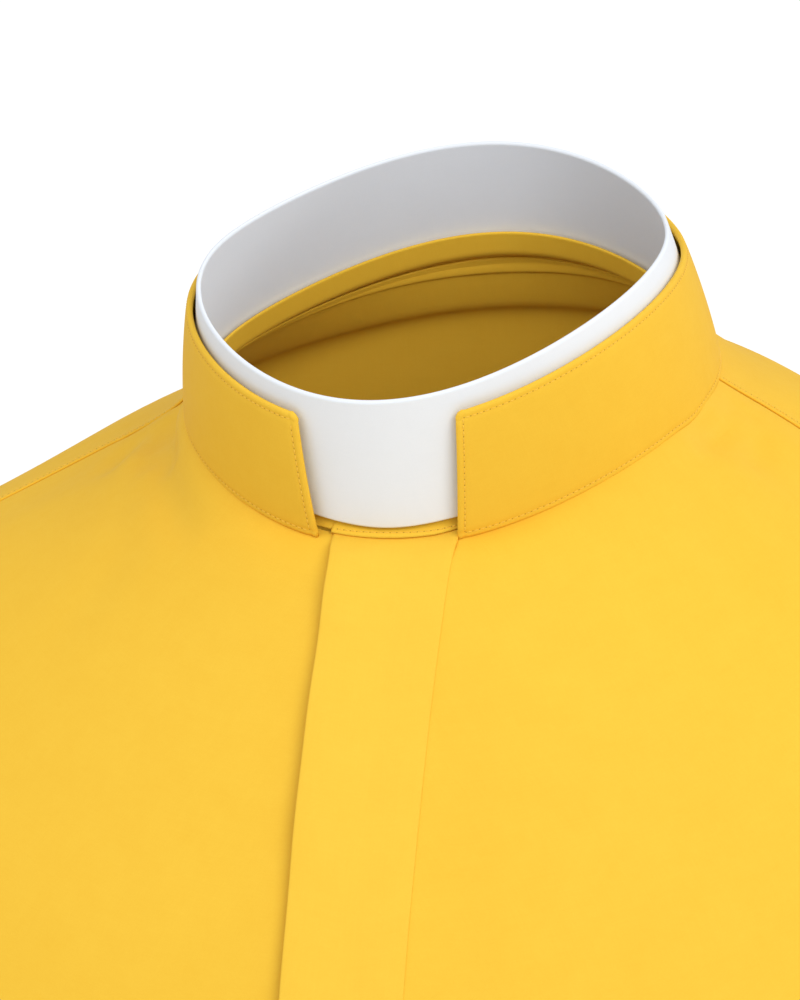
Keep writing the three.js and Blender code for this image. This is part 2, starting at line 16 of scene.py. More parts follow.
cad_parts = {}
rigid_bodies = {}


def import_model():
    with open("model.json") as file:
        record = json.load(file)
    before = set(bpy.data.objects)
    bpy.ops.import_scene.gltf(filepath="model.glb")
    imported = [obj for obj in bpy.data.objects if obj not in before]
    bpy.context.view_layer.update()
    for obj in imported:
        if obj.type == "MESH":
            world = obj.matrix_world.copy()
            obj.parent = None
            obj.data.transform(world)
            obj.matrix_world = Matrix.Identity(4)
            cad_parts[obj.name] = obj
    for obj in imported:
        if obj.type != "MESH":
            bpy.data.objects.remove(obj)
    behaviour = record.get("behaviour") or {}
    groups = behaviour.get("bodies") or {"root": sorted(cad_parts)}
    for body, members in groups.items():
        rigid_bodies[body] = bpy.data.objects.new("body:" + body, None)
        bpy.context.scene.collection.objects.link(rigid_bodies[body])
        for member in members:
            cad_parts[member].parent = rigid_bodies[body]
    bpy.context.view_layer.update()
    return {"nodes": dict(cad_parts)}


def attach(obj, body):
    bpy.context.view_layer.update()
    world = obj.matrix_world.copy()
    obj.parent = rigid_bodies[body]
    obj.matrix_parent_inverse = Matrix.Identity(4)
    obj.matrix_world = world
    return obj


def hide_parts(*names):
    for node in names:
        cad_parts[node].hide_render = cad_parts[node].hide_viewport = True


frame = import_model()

print("pieces in the frame:", ", ".join(sorted(frame["nodes"])))

# %% [markdown]
# ## Sizes of the body
# A shirt body could be sculpted, simulated over a figure or lofted through sections. Sections are chosen
# because each one is a few sizes that a pattern cutter knows: how wide, how far forward and back, and how
# high it lies. Each row is one closed section, from the neck seam over the shoulders to the shirt tail.
# `square` is the exponent of the rounded outline, and `lean` raises the wearer's left shoulder a little.

# %% Body sections, in metres
BODY_COLUMNS = "half_width front back side_y front_z side_z back_z square lean".split()
BODY_SECTIONS = np.array([
    (0.0693, 0.0681, 0.0774, 0.0050, -0.0280, 0.0019, 0.0256, 2.00, 0.0295),
    (0.0840, 0.0795, 0.0855, 0.0192, -0.0373, -0.0080, 0.0128, 2.00, 0.047),
    (0.1080, 0.0900, 0.0930, 0.0253, -0.0540, -0.0191, 0.0026, 2.00, 0.035),
    (0.1440, 0.1015, 0.1005, 0.0155, -0.0760, -0.0347, -0.0503, 2.00, 0.043),
    (0.1840, 0.1120, 0.1060, 0.0178, -0.1000, -0.0518, -0.0960, 2.00, 0.030),
    (0.2200, 0.1230, 0.1110, 0.0150, -0.1280, -0.0708, -0.1400, 2.00, 0.010),
    (0.2360, 0.1315, 0.1130, 0.012, -0.1600, -0.0980, -0.180, 2.10, 0.0),
    (0.2340, 0.1375, 0.1120, 0.006, -0.2000, -0.1600, -0.215, 2.25, 0.0),
    (0.2240, 0.1400, 0.1100, 0.000, -0.2520, -0.2500, -0.255, 2.40, 0.0),
    (0.2140, 0.1380, 0.1020, 0.000, -0.3400, -0.3350, -0.340, 2.40, 0.0),
    (0.2060, 0.1330, 0.0950, 0.000, -0.4550, -0.4450, -0.455, 2.40, 0.0),
    (0.2130, 0.1340, 0.1030, 0.000, -0.6050, -0.5750, -0.615, 2.30, 0.0),
    (0.2210, 0.1380, 0.1110, 0.000, -0.7480, -0.6900, -0.772, 2.20, 0.0),
])
HEM_ROW = len(BODY_SECTIONS) - 1
UNDERARM_ROW = 8
SLOPE_POWER, SLOPE_ROUND, SIDE_TILT = 1.15, 0.25, 0.67
print(f"body: {len(BODY_SECTIONS)} sections, hem at row {HEM_ROW}")

# %% [markdown]
# ## Between the sections
# A smooth curve through the rows of a table keeps the cloth free of kinks. This one passes through every
# row and needs no handles, which suits tables that are still being changed.

# %% Smooth curve through a table's rows
def through(table, place):
    """Every column of the table at a place between its rows, as an array with the columns last."""
    table = np.asarray(table, float)
    last = len(table) - 1
    at = np.clip(np.asarray(place, float), 0, last)
    low = np.minimum(at.astype(int), last - 1)
    share = (at - low)[..., None]
    p1, p2 = table[low], table[low + 1]
    p0 = np.where((low > 0)[..., None], table[np.maximum(low - 1, 0)], 2 * p1 - p2)
    p3 = np.where((low + 2 <= last)[..., None], table[np.minimum(low + 2, last)], 2 * p2 - p1)
    bend = 2 * p0 - 5 * p1 + 4 * p2 - p3
    twist = -p0 + 3 * p1 - 3 * p2 + p3
    return 0.5 * (2 * p1 + (p2 - p0) * share + bend * share**2 + twist * share**3)


def named(columns, table, place):
    """The table's values at a place between its rows, by the names of its columns."""
    return dict(zip(columns, np.moveaxis(through(table, place), -1, 0)))


def signed_power(value, power):
    return np.sign(value) * np.abs(value) ** power


def ring_height(along, front_z, side_z, back_z):
    """Height on a ring, 1 along at the front and -1 at the back: a round crest and a tilt across it."""
    softened = [np.hypot(value, SLOPE_ROUND) ** SLOPE_POWER for value in (along, 0.0, 1.0)]
    slope = (softened[0] - softened[1]) / (softened[2] - softened[1])
    tilt = along * (SIDE_TILT + (1 - SIDE_TILT) * along**2)
    return side_z + ((front_z + back_z) / 2 - side_z) * slope + (front_z - back_z) / 2 * tilt


def hump(distance, half_width):
    """1 in the middle and 0 from one half width away, without an edge."""
    share = np.minimum(1, np.abs(distance) / half_width)
    return (1 - share**2) ** 2


def smooth_step(value, low, high):
    share = np.clip((value - low) / (high - low), 0, 1)
    return share * share * (3 - 2 * share)


def unit(vectors):
    return vectors / np.maximum(np.linalg.norm(vectors, axis=-1, keepdims=True), 1e-12)


def on(surface, places):
    """Points of surface(a, b) at an array of places, each an a and a b."""
    return surface(places[..., 0], places[..., 1])


chest = named(BODY_COLUMNS, BODY_SECTIONS, 7.5)
print(f"half width below the armhole, between rows 7 and 8: {chest['half_width']:.4f} m")

# %% [markdown]
# ## The body's surface
# `plain_body` turns an angle round the wearer and a section row into a point: zero is the middle of the
# front and a quarter turn is the wearer's left side. Every body piece is cut from this one surface, so
# neighbouring pieces meet along their seams from the neck to the hem.

# %% The body as one surface
def plain_body(angle, row):
    angle, row = np.broadcast_arrays(np.asarray(angle, float), np.asarray(row, float))
    value = named(BODY_COLUMNS, BODY_SECTIONS, row)
    power = 2 / value["square"]
    across = signed_power(np.sin(angle), power)
    along = signed_power(np.cos(angle), power)
    ahead = along > 0
    reach = np.where(ahead, value["front"] + value["side_y"], value["back"] - value["side_y"])
    x = value["half_width"] * across
    z = ring_height(along, value["front_z"], value["side_z"], value["back_z"])
    return np.stack([x, value["side_y"] - reach * along, z + value["lean"] * x], -1)


def out_of(surface, a, b, step_a=0.01, step_b=0.02):
    """Direction out of a surface given as surface(a, b), for surfaces whose a runs to the left."""
    along_a = surface(a + step_a, b) - surface(a - step_a, b)
    along_b = surface(a, b + step_b) - surface(a, b - step_b)
    return unit(np.cross(along_b, along_a))


def body_out(angle, row):
    return out_of(plain_body, angle, np.clip(row, 0.02, HEM_ROW - 0.02))


print("neck seam, middle front:", np.round(plain_body(0, 0), 4))

# %% [markdown]
# ## Folds and creases
# Worn poplin hangs in long soft folds and breaks into short creases where it is pressed together. They
# could come from a cloth simulation. Here the picture shows an almost smooth chest, so the main folds are
# placed one by one: each is a trough or a ridge of its own length, width and depth. The wide ones are in the
# solids too, one of them a little deeper there, and the fine ones are added only here.

# %% Long folds of the body
FOLD_COLUMNS = "turn half_turn from_place to_place depth".split()
BODY_FOLDS = [
    (54, 42, -0.7, 1.1, 0.0014),
    (-60, 50, -0.7, 1.1, 0.0016),
    (-80, 9, -0.5, 3.4, -0.0012),
    (74, 8, -0.5, 2.6, -0.0014),
    (40, 11, 7.6, 12.6, 0.0042),
    (66, 10, 8.4, 12.8, -0.0044),
    (-34, 11, 8.2, 12.8, 0.0036),
    (-60, 12, 7.8, 12.6, -0.0048),
    (112, 10, 8.6, 12.8, 0.0046),
    (138, 12, 7.2, 12.6, -0.0050),
    (164, 11, 8.0, 12.8, 0.0040),
    (-116, 11, 8.2, 12.7, 0.0044),
    (-142, 12, 7.4, 12.6, -0.0046),
    (-168, 10, 8.4, 12.8, 0.0034),
]


def turn_between(angle, other):
    """Signed turn in degrees from one angle to another, at most half a turn."""
    turn = np.degrees(angle) - other
    return turn - 360 * np.round(turn / 360)


def folds(table, turn, place):
    """Depth of all the folds of a table at a turn and a place."""
    depth = np.zeros(np.broadcast(turn, place).shape)
    for values in table:
        fold = dict(zip(FOLD_COLUMNS, values))
        middle = (fold["from_place"] + fold["to_place"]) / 2
        half = (fold["to_place"] - fold["from_place"]) / 2
        across = hump(turn_between(turn, fold["turn"]), fold["half_turn"])
        depth += fold["depth"] * across * hump(place - middle, half)
    return depth


# %% Short creases of the body
CREASE_COLUMNS = "from_turn from_place to_turn to_place width depth".split()
BODY_CREASES = [
    (70, 7.55, 44, 7.05, 0.0070, -0.0032),
    (74, 7.85, 50, 7.75, 0.0060, -0.0026),
    (78, 8.15, 58, 8.55, 0.0070, -0.0029),
    (-69, 7.50, -46, 6.95, 0.0070, -0.0029),
    (-75, 7.90, -48, 7.90, 0.0060, -0.0029),
    (-80, 8.20, -62, 8.80, 0.0065, -0.0023),
    (108, 7.60, 132, 7.10, 0.0070, -0.0032),
    (104, 8.00, 128, 8.10, 0.0065, -0.0026),
    (-107, 7.65, -134, 7.20, 0.0070, -0.0029),
    (-103, 8.10, -126, 8.40, 0.0060, -0.0026),
    (84, 9.60, 60, 10.20, 0.0080, -0.0029),
    (96, 9.90, 122, 10.30, 0.0080, -0.0032),
    (-86, 9.50, -58, 10.00, 0.0080, -0.0029),
    (-95, 10.0, -124, 10.50, 0.0080, -0.0032),
    (30, 9.80, 58, 9.50, 0.0070, -0.0012),
    (-28, 10.10, -52, 9.90, 0.0070, -0.0012),
    (150, 9.70, 178, 9.95, 0.0080, -0.0023),
    (-152, 9.85, -176, 9.60, 0.0080, -0.0020),
    (20, 11.00, 34, 12.00, 0.0090, -0.0023),
    (-22, 11.20, -38, 12.00, 0.0090, -0.0020),
    (152, 10.90, 146, 12.00, 0.0100, -0.0029),
    (-130, 11.00, -126, 12.00, 0.0100, -0.0029),
    (25, 1.60, 29, 5.60, 0.0090, -0.0007),
    (60, 1.10, 44, 3.00, 0.0075, -0.0006),
    (-52, 0.90, -40, 3.10, 0.0080, -0.0003),
    (-92, 0.60, -60, 0.72, 0.0054, -0.0040),
    (-70, 0.66, -38, 1.20, 0.0065, -0.0014),
    (-86, 0.94, -65, 1.10, 0.0046, -0.0024),
    (-85, 1.24, -72, 1.66, 0.0050, -0.0017),
    (-72, 1.00, -48, 1.75, 0.0080, -0.0006),
    (88, 0.54, 66, 0.66, 0.0050, -0.0018),
    (86, 0.90, 70, 1.36, 0.0055, -0.0012),
    (10, 2.20, 6, 6.80, 0.0130, -0.0013),
]
CREASE_STEPS = np.linspace(0, 1, 9)
CREASE_STRENGTH, CREASE_FADE = 1.6, 0.7
SWELL_SHARE, SWELL_REACH = 0.4, 2.1


def crease_depth(points, line, width, depth):
    """Trough of one crease with a slight swell beside it, fading towards both ends."""
    nearest = np.full(points.shape[:-1], 9.0)
    place = np.zeros(points.shape[:-1])
    for number, (start, end) in enumerate(zip(line, line[1:])):
        way = end - start
        share = np.clip(((points - start) @ way) / (way @ way), 0, 1)
        away = np.linalg.norm(points - start - share[..., None] * way, axis=-1)
        closer = away < nearest
        nearest = np.where(closer, away, nearest)
        place = np.where(closer, (number + share) / (len(line) - 1), place)
    fade = np.sin(np.pi * np.clip(place, 0, 1)) ** CREASE_FADE
    swell = SWELL_SHARE * np.exp(-((nearest / (SWELL_REACH * width)) ** 2))
    return depth * CREASE_STRENGTH * fade * (np.exp(-((nearest / width) ** 2)) - swell)


def creases(points, table, line_at):
    """Depth of all the creases of a table, where line_at(turn, place) leads along the middle of one."""
    depth = np.zeros(points.shape[:-1])
    for values in table:
        crease = dict(zip(CREASE_COLUMNS, values))
        turn = crease["from_turn"] + (crease["to_turn"] - crease["from_turn"]) * CREASE_STEPS
        place = crease["from_place"] + (crease["to_place"] - crease["from_place"]) * CREASE_STEPS
        depth += crease_depth(points, line_at(np.radians(turn), place), crease["width"], crease["depth"])
    return depth


def body_point(angle, row):
    """The body's outer face with its folds and creases."""
    plain = plain_body(angle, row)
    depth = folds(BODY_FOLDS, angle, row) + creases(plain, BODY_CREASES, plain_body)
    return plain + body_out(angle, row) * depth[..., None]


print(f"{len(BODY_FOLDS)} long folds and {len(BODY_CREASES)} short creases on the body")

# %% [markdown]
# ## Cloth as a thin shell
# A sewn piece is cloth with a face, a back and a folded edge. A solidify modifier would do, but its edges
# are square, and at this distance the round edge of a fused collar shows. So a helper takes a grid of
# points on the face, copies it inwards by the thickness and joins both with a round rim. It also writes a
# `cut` map, which measures the flat cloth in metres, so that the weave has its true scale everywhere.

# %% A grid of face points becomes a shell
RIM_STEPS = 3


def grid_out(face, wrap, towards):
    """Directions out of a grid of points, turned to the side that `towards` gives."""
    if wrap:
        along_j = np.roll(face, -1, 1) - np.roll(face, 1, 1)
    else:
        along_j = np.gradient(face, axis=1)
    along_i = np.gradient(face, axis=0)
    out = unit(np.cross(along_j, along_i))
    side = np.sign((out * towards).sum(-1, keepdims=True))
    return out * np.where(side == 0, 1, side)


def cut_map(face):
    """Distances in the cloth along both grid directions, measured from the middle."""
    across = np.linalg.norm(np.diff(face, axis=1), axis=-1)
    down = np.linalg.norm(np.diff(face, axis=0), axis=-1)
    u = np.concatenate([np.zeros((len(face), 1)), np.cumsum(across, 1)], 1)
    v = np.concatenate([np.zeros((1, face.shape[1])), np.cumsum(down, 0)], 0)
    return np.stack([u - u[:, -1:] / 2, -v], -1)


def edge_loop(rows, columns, wrap):
    """Grid places round the edge: one loop, or two where the grid closes on itself."""
    if wrap:
        return [[(0, j) for j in range(columns)], [(rows - 1, j) for j in reversed(range(columns))]]
    top = [(0, j) for j in range(columns)]
    right = [(i, columns - 1) for i in range(1, rows)]
    bottom = [(rows - 1, j) for j in reversed(range(columns - 1))]
    left = [(i, 0) for i in reversed(range(1, rows - 1))]
    return [top + right + bottom + left]


def edge_directions(face, out, loop):
    """Directions in the cloth that lead over its edge, for every grid place of a loop."""
    line = np.array([face[place] for place in loop])
    up = np.array([out[place] for place in loop])
    way = unit(np.cross(np.roll(line, -1, 0) - np.roll(line, 1, 0), up))
    inner = []
    for i, j in loop:
        inside_i = min(max(i, 1), face.shape[0] - 2)
        inside_j = min(max(j, 1), face.shape[1] - 2)
        inner.append(face[inside_i, inside_j if inside_i == i else j] - face[i, j])
    side = np.sign((way * np.array(inner)).sum(-1).sum())
    return -way * side


def shell(name, face, towards, thickness, wrap=False):
    """Closed shell of cloth from its face points; returns the object, the face and its directions."""
    face = np.array(face, float)
    out = grid_out(face, wrap, towards)
    rows, columns = face.shape[:2]
    cut = cut_map(face)
    radius = thickness / 2
    loops = edge_loop(rows, columns, wrap)
    ways = {}
    for loop in loops:
        ways.update(zip(loop, edge_directions(face, out, loop)))
    for place, way in ways.items():
        face[place] -= way * radius
    back = face - out * thickness
    points = [face.reshape(-1, 3), back.reshape(-1, 3)]
    maps = [cut.reshape(-1, 2), cut.reshape(-1, 2)]
    count = rows * columns
    index = np.arange(count).reshape(rows, columns)
    if wrap:
        index = np.concatenate([index, index[:, :1]], 1)
    quads = np.stack([index[:-1, :-1], index[1:, :-1], index[1:, 1:], index[:-1, 1:]], -1).reshape(-1, 4)
    faces = quads.tolist() + (quads[:, ::-1] + count).tolist()
    total = 2 * count
    turns = np.pi * (0.5 - np.arange(1, RIM_STEPS + 1) / (RIM_STEPS + 1))
    for loop in loops:
        rim, strings = [], []
        for n, place in enumerate(loop):
            middle = face[place] - out[place] * radius
            rim.append([middle + radius * (np.sin(t) * out[place] + np.cos(t) * ways[place]) for t in turns])
            first, corner = total + n * RIM_STEPS, int(index[place])
            strings.append([corner, *range(first, first + RIM_STEPS), corner + count])
        points.append(np.array(rim).reshape(-1, 3))
        maps.append(np.repeat([cut[place] for place in loop], RIM_STEPS, 0))
        for here, there in zip(strings, strings[1:] + strings[:1]):
            faces += [(here[k], there[k], there[k + 1], here[k + 1]) for k in range(RIM_STEPS + 1)]
        total += len(loop) * RIM_STEPS
    piece = mesh_object(name, np.concatenate(points), faces, np.concatenate(maps))
    return piece, face, out


def link(name, data):
    """A new object in the scene for a mesh, a light or a camera."""
    piece = bpy.data.objects.new(name, data)
    bpy.context.scene.collection.objects.link(piece)
    return piece


def mesh_object(name, points, faces, cut=None):
    """A mesh with smooth faces that point out, and its cut map where one is given."""
    mesh = bpy.data.meshes.new(name)
    mesh.from_pydata([tuple(p) for p in points], [], faces)
    mesh.validate()
    if cut is not None:
        layer = mesh.uv_layers.new(name="cut")
        corner = np.empty(len(mesh.loops), int)
        mesh.loops.foreach_get("vertex_index", corner)
        layer.uv.foreach_set("vector", np.asarray(cut, np.float32)[corner].ravel())
    work = bmesh.new()
    work.from_mesh(mesh)
    bmesh.ops.recalc_face_normals(work, faces=work.faces)
    work.to_mesh(mesh)
    work.free()
    mesh.shade_smooth()
    return link(name, mesh)


def face_area(face, wrap=False):
    """Area of the grid's face in square metres."""
    if wrap:
        face = np.concatenate([face, face[:, :1]], 1)
    a = face[1:, :-1] - face[:-1, :-1]
    b = face[:-1, 1:] - face[:-1, :-1]
    c = face[1:, :-1] - face[1:, 1:]
    d = face[:-1, 1:] - face[1:, 1:]
    return 0.5 * (np.linalg.norm(np.cross(a, b), axis=-1) + np.linalg.norm(np.cross(c, d), axis=-1)).sum()


MADE = {}


def keep(name, parts, *cuts, wrap=False):
    """Keeps a shell's object and face under a name, with its stitch lines, which are cuts of its grid."""
    piece, face, out = parts
    MADE[name] = (piece, face, [(face[cut], out[cut]) for cut in cuts])
    print(f"{name}: {len(piece.data.polygons)} faces, {face_area(face, wrap):.4f} square metres")


# %% [markdown]
# ## Sewing
# A row of machine stitches is thread that lies on the cloth for a millimetre and a half and dives into it
# between. A bump map blurs at this scale, so each stitch is a small spindle of thread, and one object holds
# all the spindles of a piece. The cloth beside a stitch line is drawn in, so the pieces also get a shallow
# groove along it.

# %% Stitches along a line
THREAD_WIDTH, THREAD_SIDES = 0.00034, 5
STITCH_PITCH, STITCH_LENGTH, STITCH_START = 0.0018, 0.0014, 0.3
STITCH_SHAPE = (
    (0.0, 0.0, -0.00022),
    (0.16, 0.8, -0.00002),
    (0.5, 1.0, 0.00012),
    (0.84, 0.8, -0.00002),
    (1.0, 0.0, -0.00022),
)


def along_line(points):
    """Distance from the start for every point of a line."""
    steps = np.linalg.norm(np.diff(points, axis=0), axis=1)
    return np.concatenate([[0], np.cumsum(steps)])


def read_line(values, along, places):
    """Values of a line at these distances from its start."""
    return np.stack([np.interp(places, along, values[:, k]) for k in range(3)], -1)


def stitch_starts(along):
    return np.arange(STITCH_PITCH * STITCH_START, along[-1] - STITCH_LENGTH, STITCH_PITCH)


def circle(sides):
    return 2 * np.pi * np.arange(sides) / sides


def rings_round(middles, side, up, radius, turns):
    """A ring of points round each of many middles, in the plane of its two directions."""
    across = np.cos(turns)[:, None] * side[:, None] + np.sin(turns)[:, None] * up[:, None]
    return middles[:, None] + radius * across


def turned_faces(count, sides):
    """Faces round an axis, from a first point over a count of rings to a last point."""
    faces = []
    for k in range(sides):
        after = (k + 1) % sides
        faces.append((0, 1 + after, 1 + k))
        for ring in range(count - 1):
            low, high = 1 + ring * sides, 1 + (ring + 1) * sides
            faces.append((low + k, low + after, high + after, high + k))
        low = 1 + (count - 1) * sides
        faces.append((low + k, low + after, 1 + count * sides))
    return faces


def join(blocks):
    """Points and faces of several blocks, put together."""
    points, faces, total = [], [], 0
    for block, block_faces in blocks:
        faces += [tuple(v + total for v in f) for f in block_faces]
        points.append(block)
        total += len(block)
    return np.concatenate(points), faces


def stitch_line(points, out):
    """Spindles of thread along a line on the cloth: points and faces."""
    along = along_line(points)
    starts = stitch_starts(along)
    first, last = read_line(points, along, starts), read_line(points, along, starts + STITCH_LENGTH)
    way, up = unit(last - first), unit(read_line(out, along, starts + STITCH_LENGTH / 2))
    side = unit(np.cross(way, up))
    vertices = []
    for share, width, height in STITCH_SHAPE:
        middle = first + (last - first) * share + up * height
        ring = rings_round(middle, side, up, THREAD_WIDTH / 2 * width, circle(THREAD_SIDES))
        vertices.append(ring if width else middle[:, None])
    block = np.concatenate(vertices, 1)
    faces = turned_faces(len(STITCH_SHAPE) - 2, THREAD_SIDES)
    size = block.shape[1]
    shifted = [tuple(v + n * size for v in f) for n in range(len(block)) for f in faces]
    return block.reshape(-1, 3), shifted


def sewing(name, lines):
    """One object with the stitches of several lines, each given by its points and directions."""
    return mesh_object(name, *join(stitch_line(*line) for line in lines))


def groove(distance, place, width=0.00045, depth=0.00016):
    """Depth of the cloth beside a line of stitches at a distance from the edge."""
    return -depth * np.exp(-(((distance - place) / width) ** 2))


# %% [markdown]
# ## Finer lines near an edge
# A stitched edge needs several grid lines within a few millimetres, and the rest of the piece doesn't.
# This helper puts extra lines into a grid of surface places at set distances from one of its edges. It
# works on the places, not on the points, so the new lines still lie on the surface. A distance below zero
# runs on past the seam, for cloth that goes under its neighbour.

# %% Extra grid lines along an edge
SHORT_PERCENT, SPARE_LENGTH = 5, 1.1
FARTHEST_SHARE, SHARE_STEP = 0.96, 0.03


def refine(places, surface, lines, end=False, axis=1):
    """Puts grid lines at these distances from an edge, in place of the edge line; below zero is past it."""
    grid = np.moveaxis(places, axis, 0)
    if end:
        grid = grid[::-1]
    step = lambda n: np.linalg.norm(np.subtract(*on(surface, grid[n : n + 2])), axis=-1)
    length, keep = step(0), 2
    while np.percentile(length, SHORT_PERCENT) < lines[-1] * SPARE_LENGTH and keep < len(grid) - 2:
        length = length + step(keep - 1)
        keep += 1
    inner = grid[keep - 1]
    farthest = FARTHEST_SHARE - SHARE_STEP * np.arange(len(lines))[::-1]
    shares = [np.minimum(line / length, far)[..., None] for line, far in zip(lines, farthest)]
    added = np.array([grid[0] + (inner - grid[0]) * share for share in shares])
    grid = np.concatenate([added, grid[keep - 1 :]])
    if end:
        grid = grid[::-1]
    return np.moveaxis(grid, 0, axis)


EDGES = {"first_row": (False, 0), "last_row": (True, 0), "first_column": (False, 1), "last_column": (True, 1)}


def refine_edges(places, surface, **edges):
    """Refines several edges one after the other, each given by its name and its lines."""
    for edge, lines in edges.items():
        places = refine(places, surface, lines, *EDGES[edge])
    return places


def refine_all_round(places, surface, lines):
    return refine_edges(places, surface, **dict.fromkeys(EDGES, lines))


def edge_distance(face, end=False, axis=1):
    """Distance of every grid point from the first or last line of an axis."""
    grid = np.moveaxis(face, axis, 0)
    if end:
        grid = grid[::-1]
    steps = np.linalg.norm(np.diff(grid, axis=0), axis=-1)
    distance = np.concatenate([np.zeros((1,) + steps.shape[1:]), np.cumsum(steps, 0)])
    if end:
        distance = distance[::-1]
    return np.moveaxis(distance, 0, axis)


def distances_all_round(face):
    """Distances from the first and last row, then from the first and last column."""
    return [edge_distance(face, *edge) for edge in EDGES.values()]


print("helpers for shells, stitches and edges are ready")

# %% [markdown]
# ## Seams on the body
# The armhole is an oval on the body's surface, counted in 24 steps from its top towards the front. The
# yoke ends at step 1 in front and three steps behind the top. The same few rules give the solids their
# seams, so the cloth here meets its neighbours where theirs do.

# %% Armhole and yoke seams
ARMHOLE = dict(front=36, back=34, top_row=5.15, bottom_row=8, steps=24)
YOKE_FRONT_STEP, YOKE_BACK_STEP, UNDERARM_STEP = 1, -3, 12
YOKE_NECK_ANGLE, YOKE_SEAM_BEND, YOKE_BACK_ROW = 95.4, 2.7, 4


def armhole_place(step):
    turn = np.asarray(step, float) / ARMHOLE["steps"] * 2 * np.pi
    reach = np.where(np.sin(turn) > 0, ARMHOLE["front"], ARMHOLE["back"])
    middle = (ARMHOLE["top_row"] + ARMHOLE["bottom_row"]) / 2
    half = (ARMHOLE["bottom_row"] - ARMHOLE["top_row"]) / 2
    return np.stack([np.radians(90 - reach * np.sin(turn)), middle - half * np.cos(turn)], -1)


YOKE_FRONT_END = armhole_place(YOKE_FRONT_STEP)


def yoke_angle(neck_angle, outer_angle, share):
    return neck_angle + (outer_angle - neck_angle) * (1 - (1 - share) ** YOKE_SEAM_BEND)


def back_seam_share(share):
    return 1 - (1 - share) ** 2


def angle_at_x(x, row):
    """Angle at which the body lies at this x, near the middle of the front."""
    values = named(BODY_COLUMNS, BODY_SECTIONS, row)
    return np.sign(x) * np.arcsin((np.abs(x) / values["half_width"]) ** (values["square"] / 2))


print("armhole, top and bottom:", np.round(plain_body(*armhole_place([0, 12]).T), 3).tolist())

# %% [markdown]
# ## Camera
# The camera stands to the wearer's left of the middle, a little above, far enough back that the lens
# flattens the form. Its direction came from matching the collar's rings to the picture, and it looks at the
# middle of the neck, so the frame is shifted to where the neck lies in the picture. It is made before the
# pieces, so that every later cell can be judged in the same view.

# %% Camera at the photograph's angle
VIEW_TURN, VIEW_RISE, VIEW_DISTANCE = math.radians(14), math.radians(9), 2.2
PIXELS_PER_METRE, IMAGE_SIZE, NECK_PIXEL = 3750, (800, 1000), (449.4, 391.2)
SENSOR = 36


def direction(turn, rise):
    """Direction out from the shirt, turned from its front to the wearer's left and then raised."""
    return Vector((math.sin(turn) * math.cos(rise), -math.cos(turn) * math.cos(rise), math.sin(rise)))


def add_camera():
    right = Vector((math.cos(VIEW_TURN), math.sin(VIEW_TURN), 0))
    back = direction(VIEW_TURN, VIEW_RISE)
    lens = bpy.data.cameras.new("view")
    lens.sensor_fit, lens.sensor_height = "VERTICAL", SENSOR
    lens.lens = SENSOR * VIEW_DISTANCE * PIXELS_PER_METRE / IMAGE_SIZE[1]
    lens.shift_x = (IMAGE_SIZE[0] / 2 - NECK_PIXEL[0]) / IMAGE_SIZE[1]
    lens.shift_y = (NECK_PIXEL[1] - IMAGE_SIZE[1] / 2) / IMAGE_SIZE[1]
    camera = link("view", lens)
    turn = Matrix((right, back.cross(right), back)).transposed().to_4x4()
    camera.matrix_world = Matrix.Translation(back * VIEW_DISTANCE) @ turn
    bpy.context.scene.camera = camera
    return camera


camera = add_camera()
print(f"lens {camera.data.lens:.0f} mm, {VIEW_DISTANCE} m away")

# %% [markdown]
# ## Which cloth lies over which
# A felled or edge-stitched seam has one piece that lies on top and one that is tucked below it. The body
# lies over the sleeves, the yoke over fronts and back, and the fronts over the back at the sides. The upper
# cloth is raised a quarter of a millimetre and runs a little past the seam, the lower one dips and runs on
# under it. That step is what draws the fine dark line of a real seam.

# %% Upper and lower cloth at a seam
BODY_CLOTH = 0.0007
PAST_SEAM, UNDER_SEAM = 0.0006, 0.0012
OVER_LIFT, OVER_REACH, UNDER_DIP = 0.00024, 0.006, 0.00045
EDGE_STITCH, HEM_STITCH, HEM_THICKNESS = 0.0015, 0.0046, 0.00035
OVER_LINES = (-PAST_SEAM, 0.0004, 0.0011, 0.0015, 0.0019, 0.0027, 0.0045)
UNDER_LINES = (-UNDER_SEAM, -0.0004, 0.0, 0.0005, 0.0011, 0.0018, 0.0040)
HEM_LINES = (0.0, 0.0008, 0.0018, 0.0036, 0.0041, 0.0046, 0.0051, 0.0058, 0.0070, 0.0100)


def over(distance):
    lift = OVER_LIFT * (1 - smooth_step(distance, 0.0, OVER_REACH))
    return lift + groove(distance, EDGE_STITCH, depth=0.00010)


def under(distance, reach=0.0011):
    return -UNDER_DIP * (1 - smooth_step(distance, 0.0004, reach))


def hem_fold(distance):
    """The hem is turned in twice, so it is thicker up to its stitches."""
    fold = HEM_THICKNESS * (1 - smooth_step(distance, HEM_STITCH, HEM_STITCH + 0.0014))
    return fold + groove(distance, HEM_STITCH, depth=0.00014)


def evenly(line, low, high, count):
    """Parameters that cut line(parameter) into even lengths."""
    fine = np.linspace(low, high, 600)
    along = along_line(line(fine))
    return np.interp(np.linspace(0, along[-1], count), along, fine)


def closest_line(lines, distance):
    """Index of the grid line that lies at this distance from a refined edge."""
    return int(np.argmin(np.abs(np.array(lines) - distance)))


def lay_body(places, depth, name, thickness=BODY_CLOTH):
    """Puts surface places on the folded body, lifts them by depth and makes the shell."""
    out = on(body_out, places)
    return shell(name, on(body_point, places) + out * depth[..., None], out, thickness)


HEM_STITCH_ROW = -1 - closest_line(HEM_LINES, HEM_STITCH)
print("grid lines at a hem, in millimetres:", [round(line * 1000, 1) for line in HEM_LINES])

# %% [markdown]
# ## The two fronts
# Each front is cut from the middle edge to the yoke seam, the armhole and the side seam. The wearer's left
# front stops at the placket and tucks below its edge. The right one runs on under the fly, as it must
# for the hidden buttons.

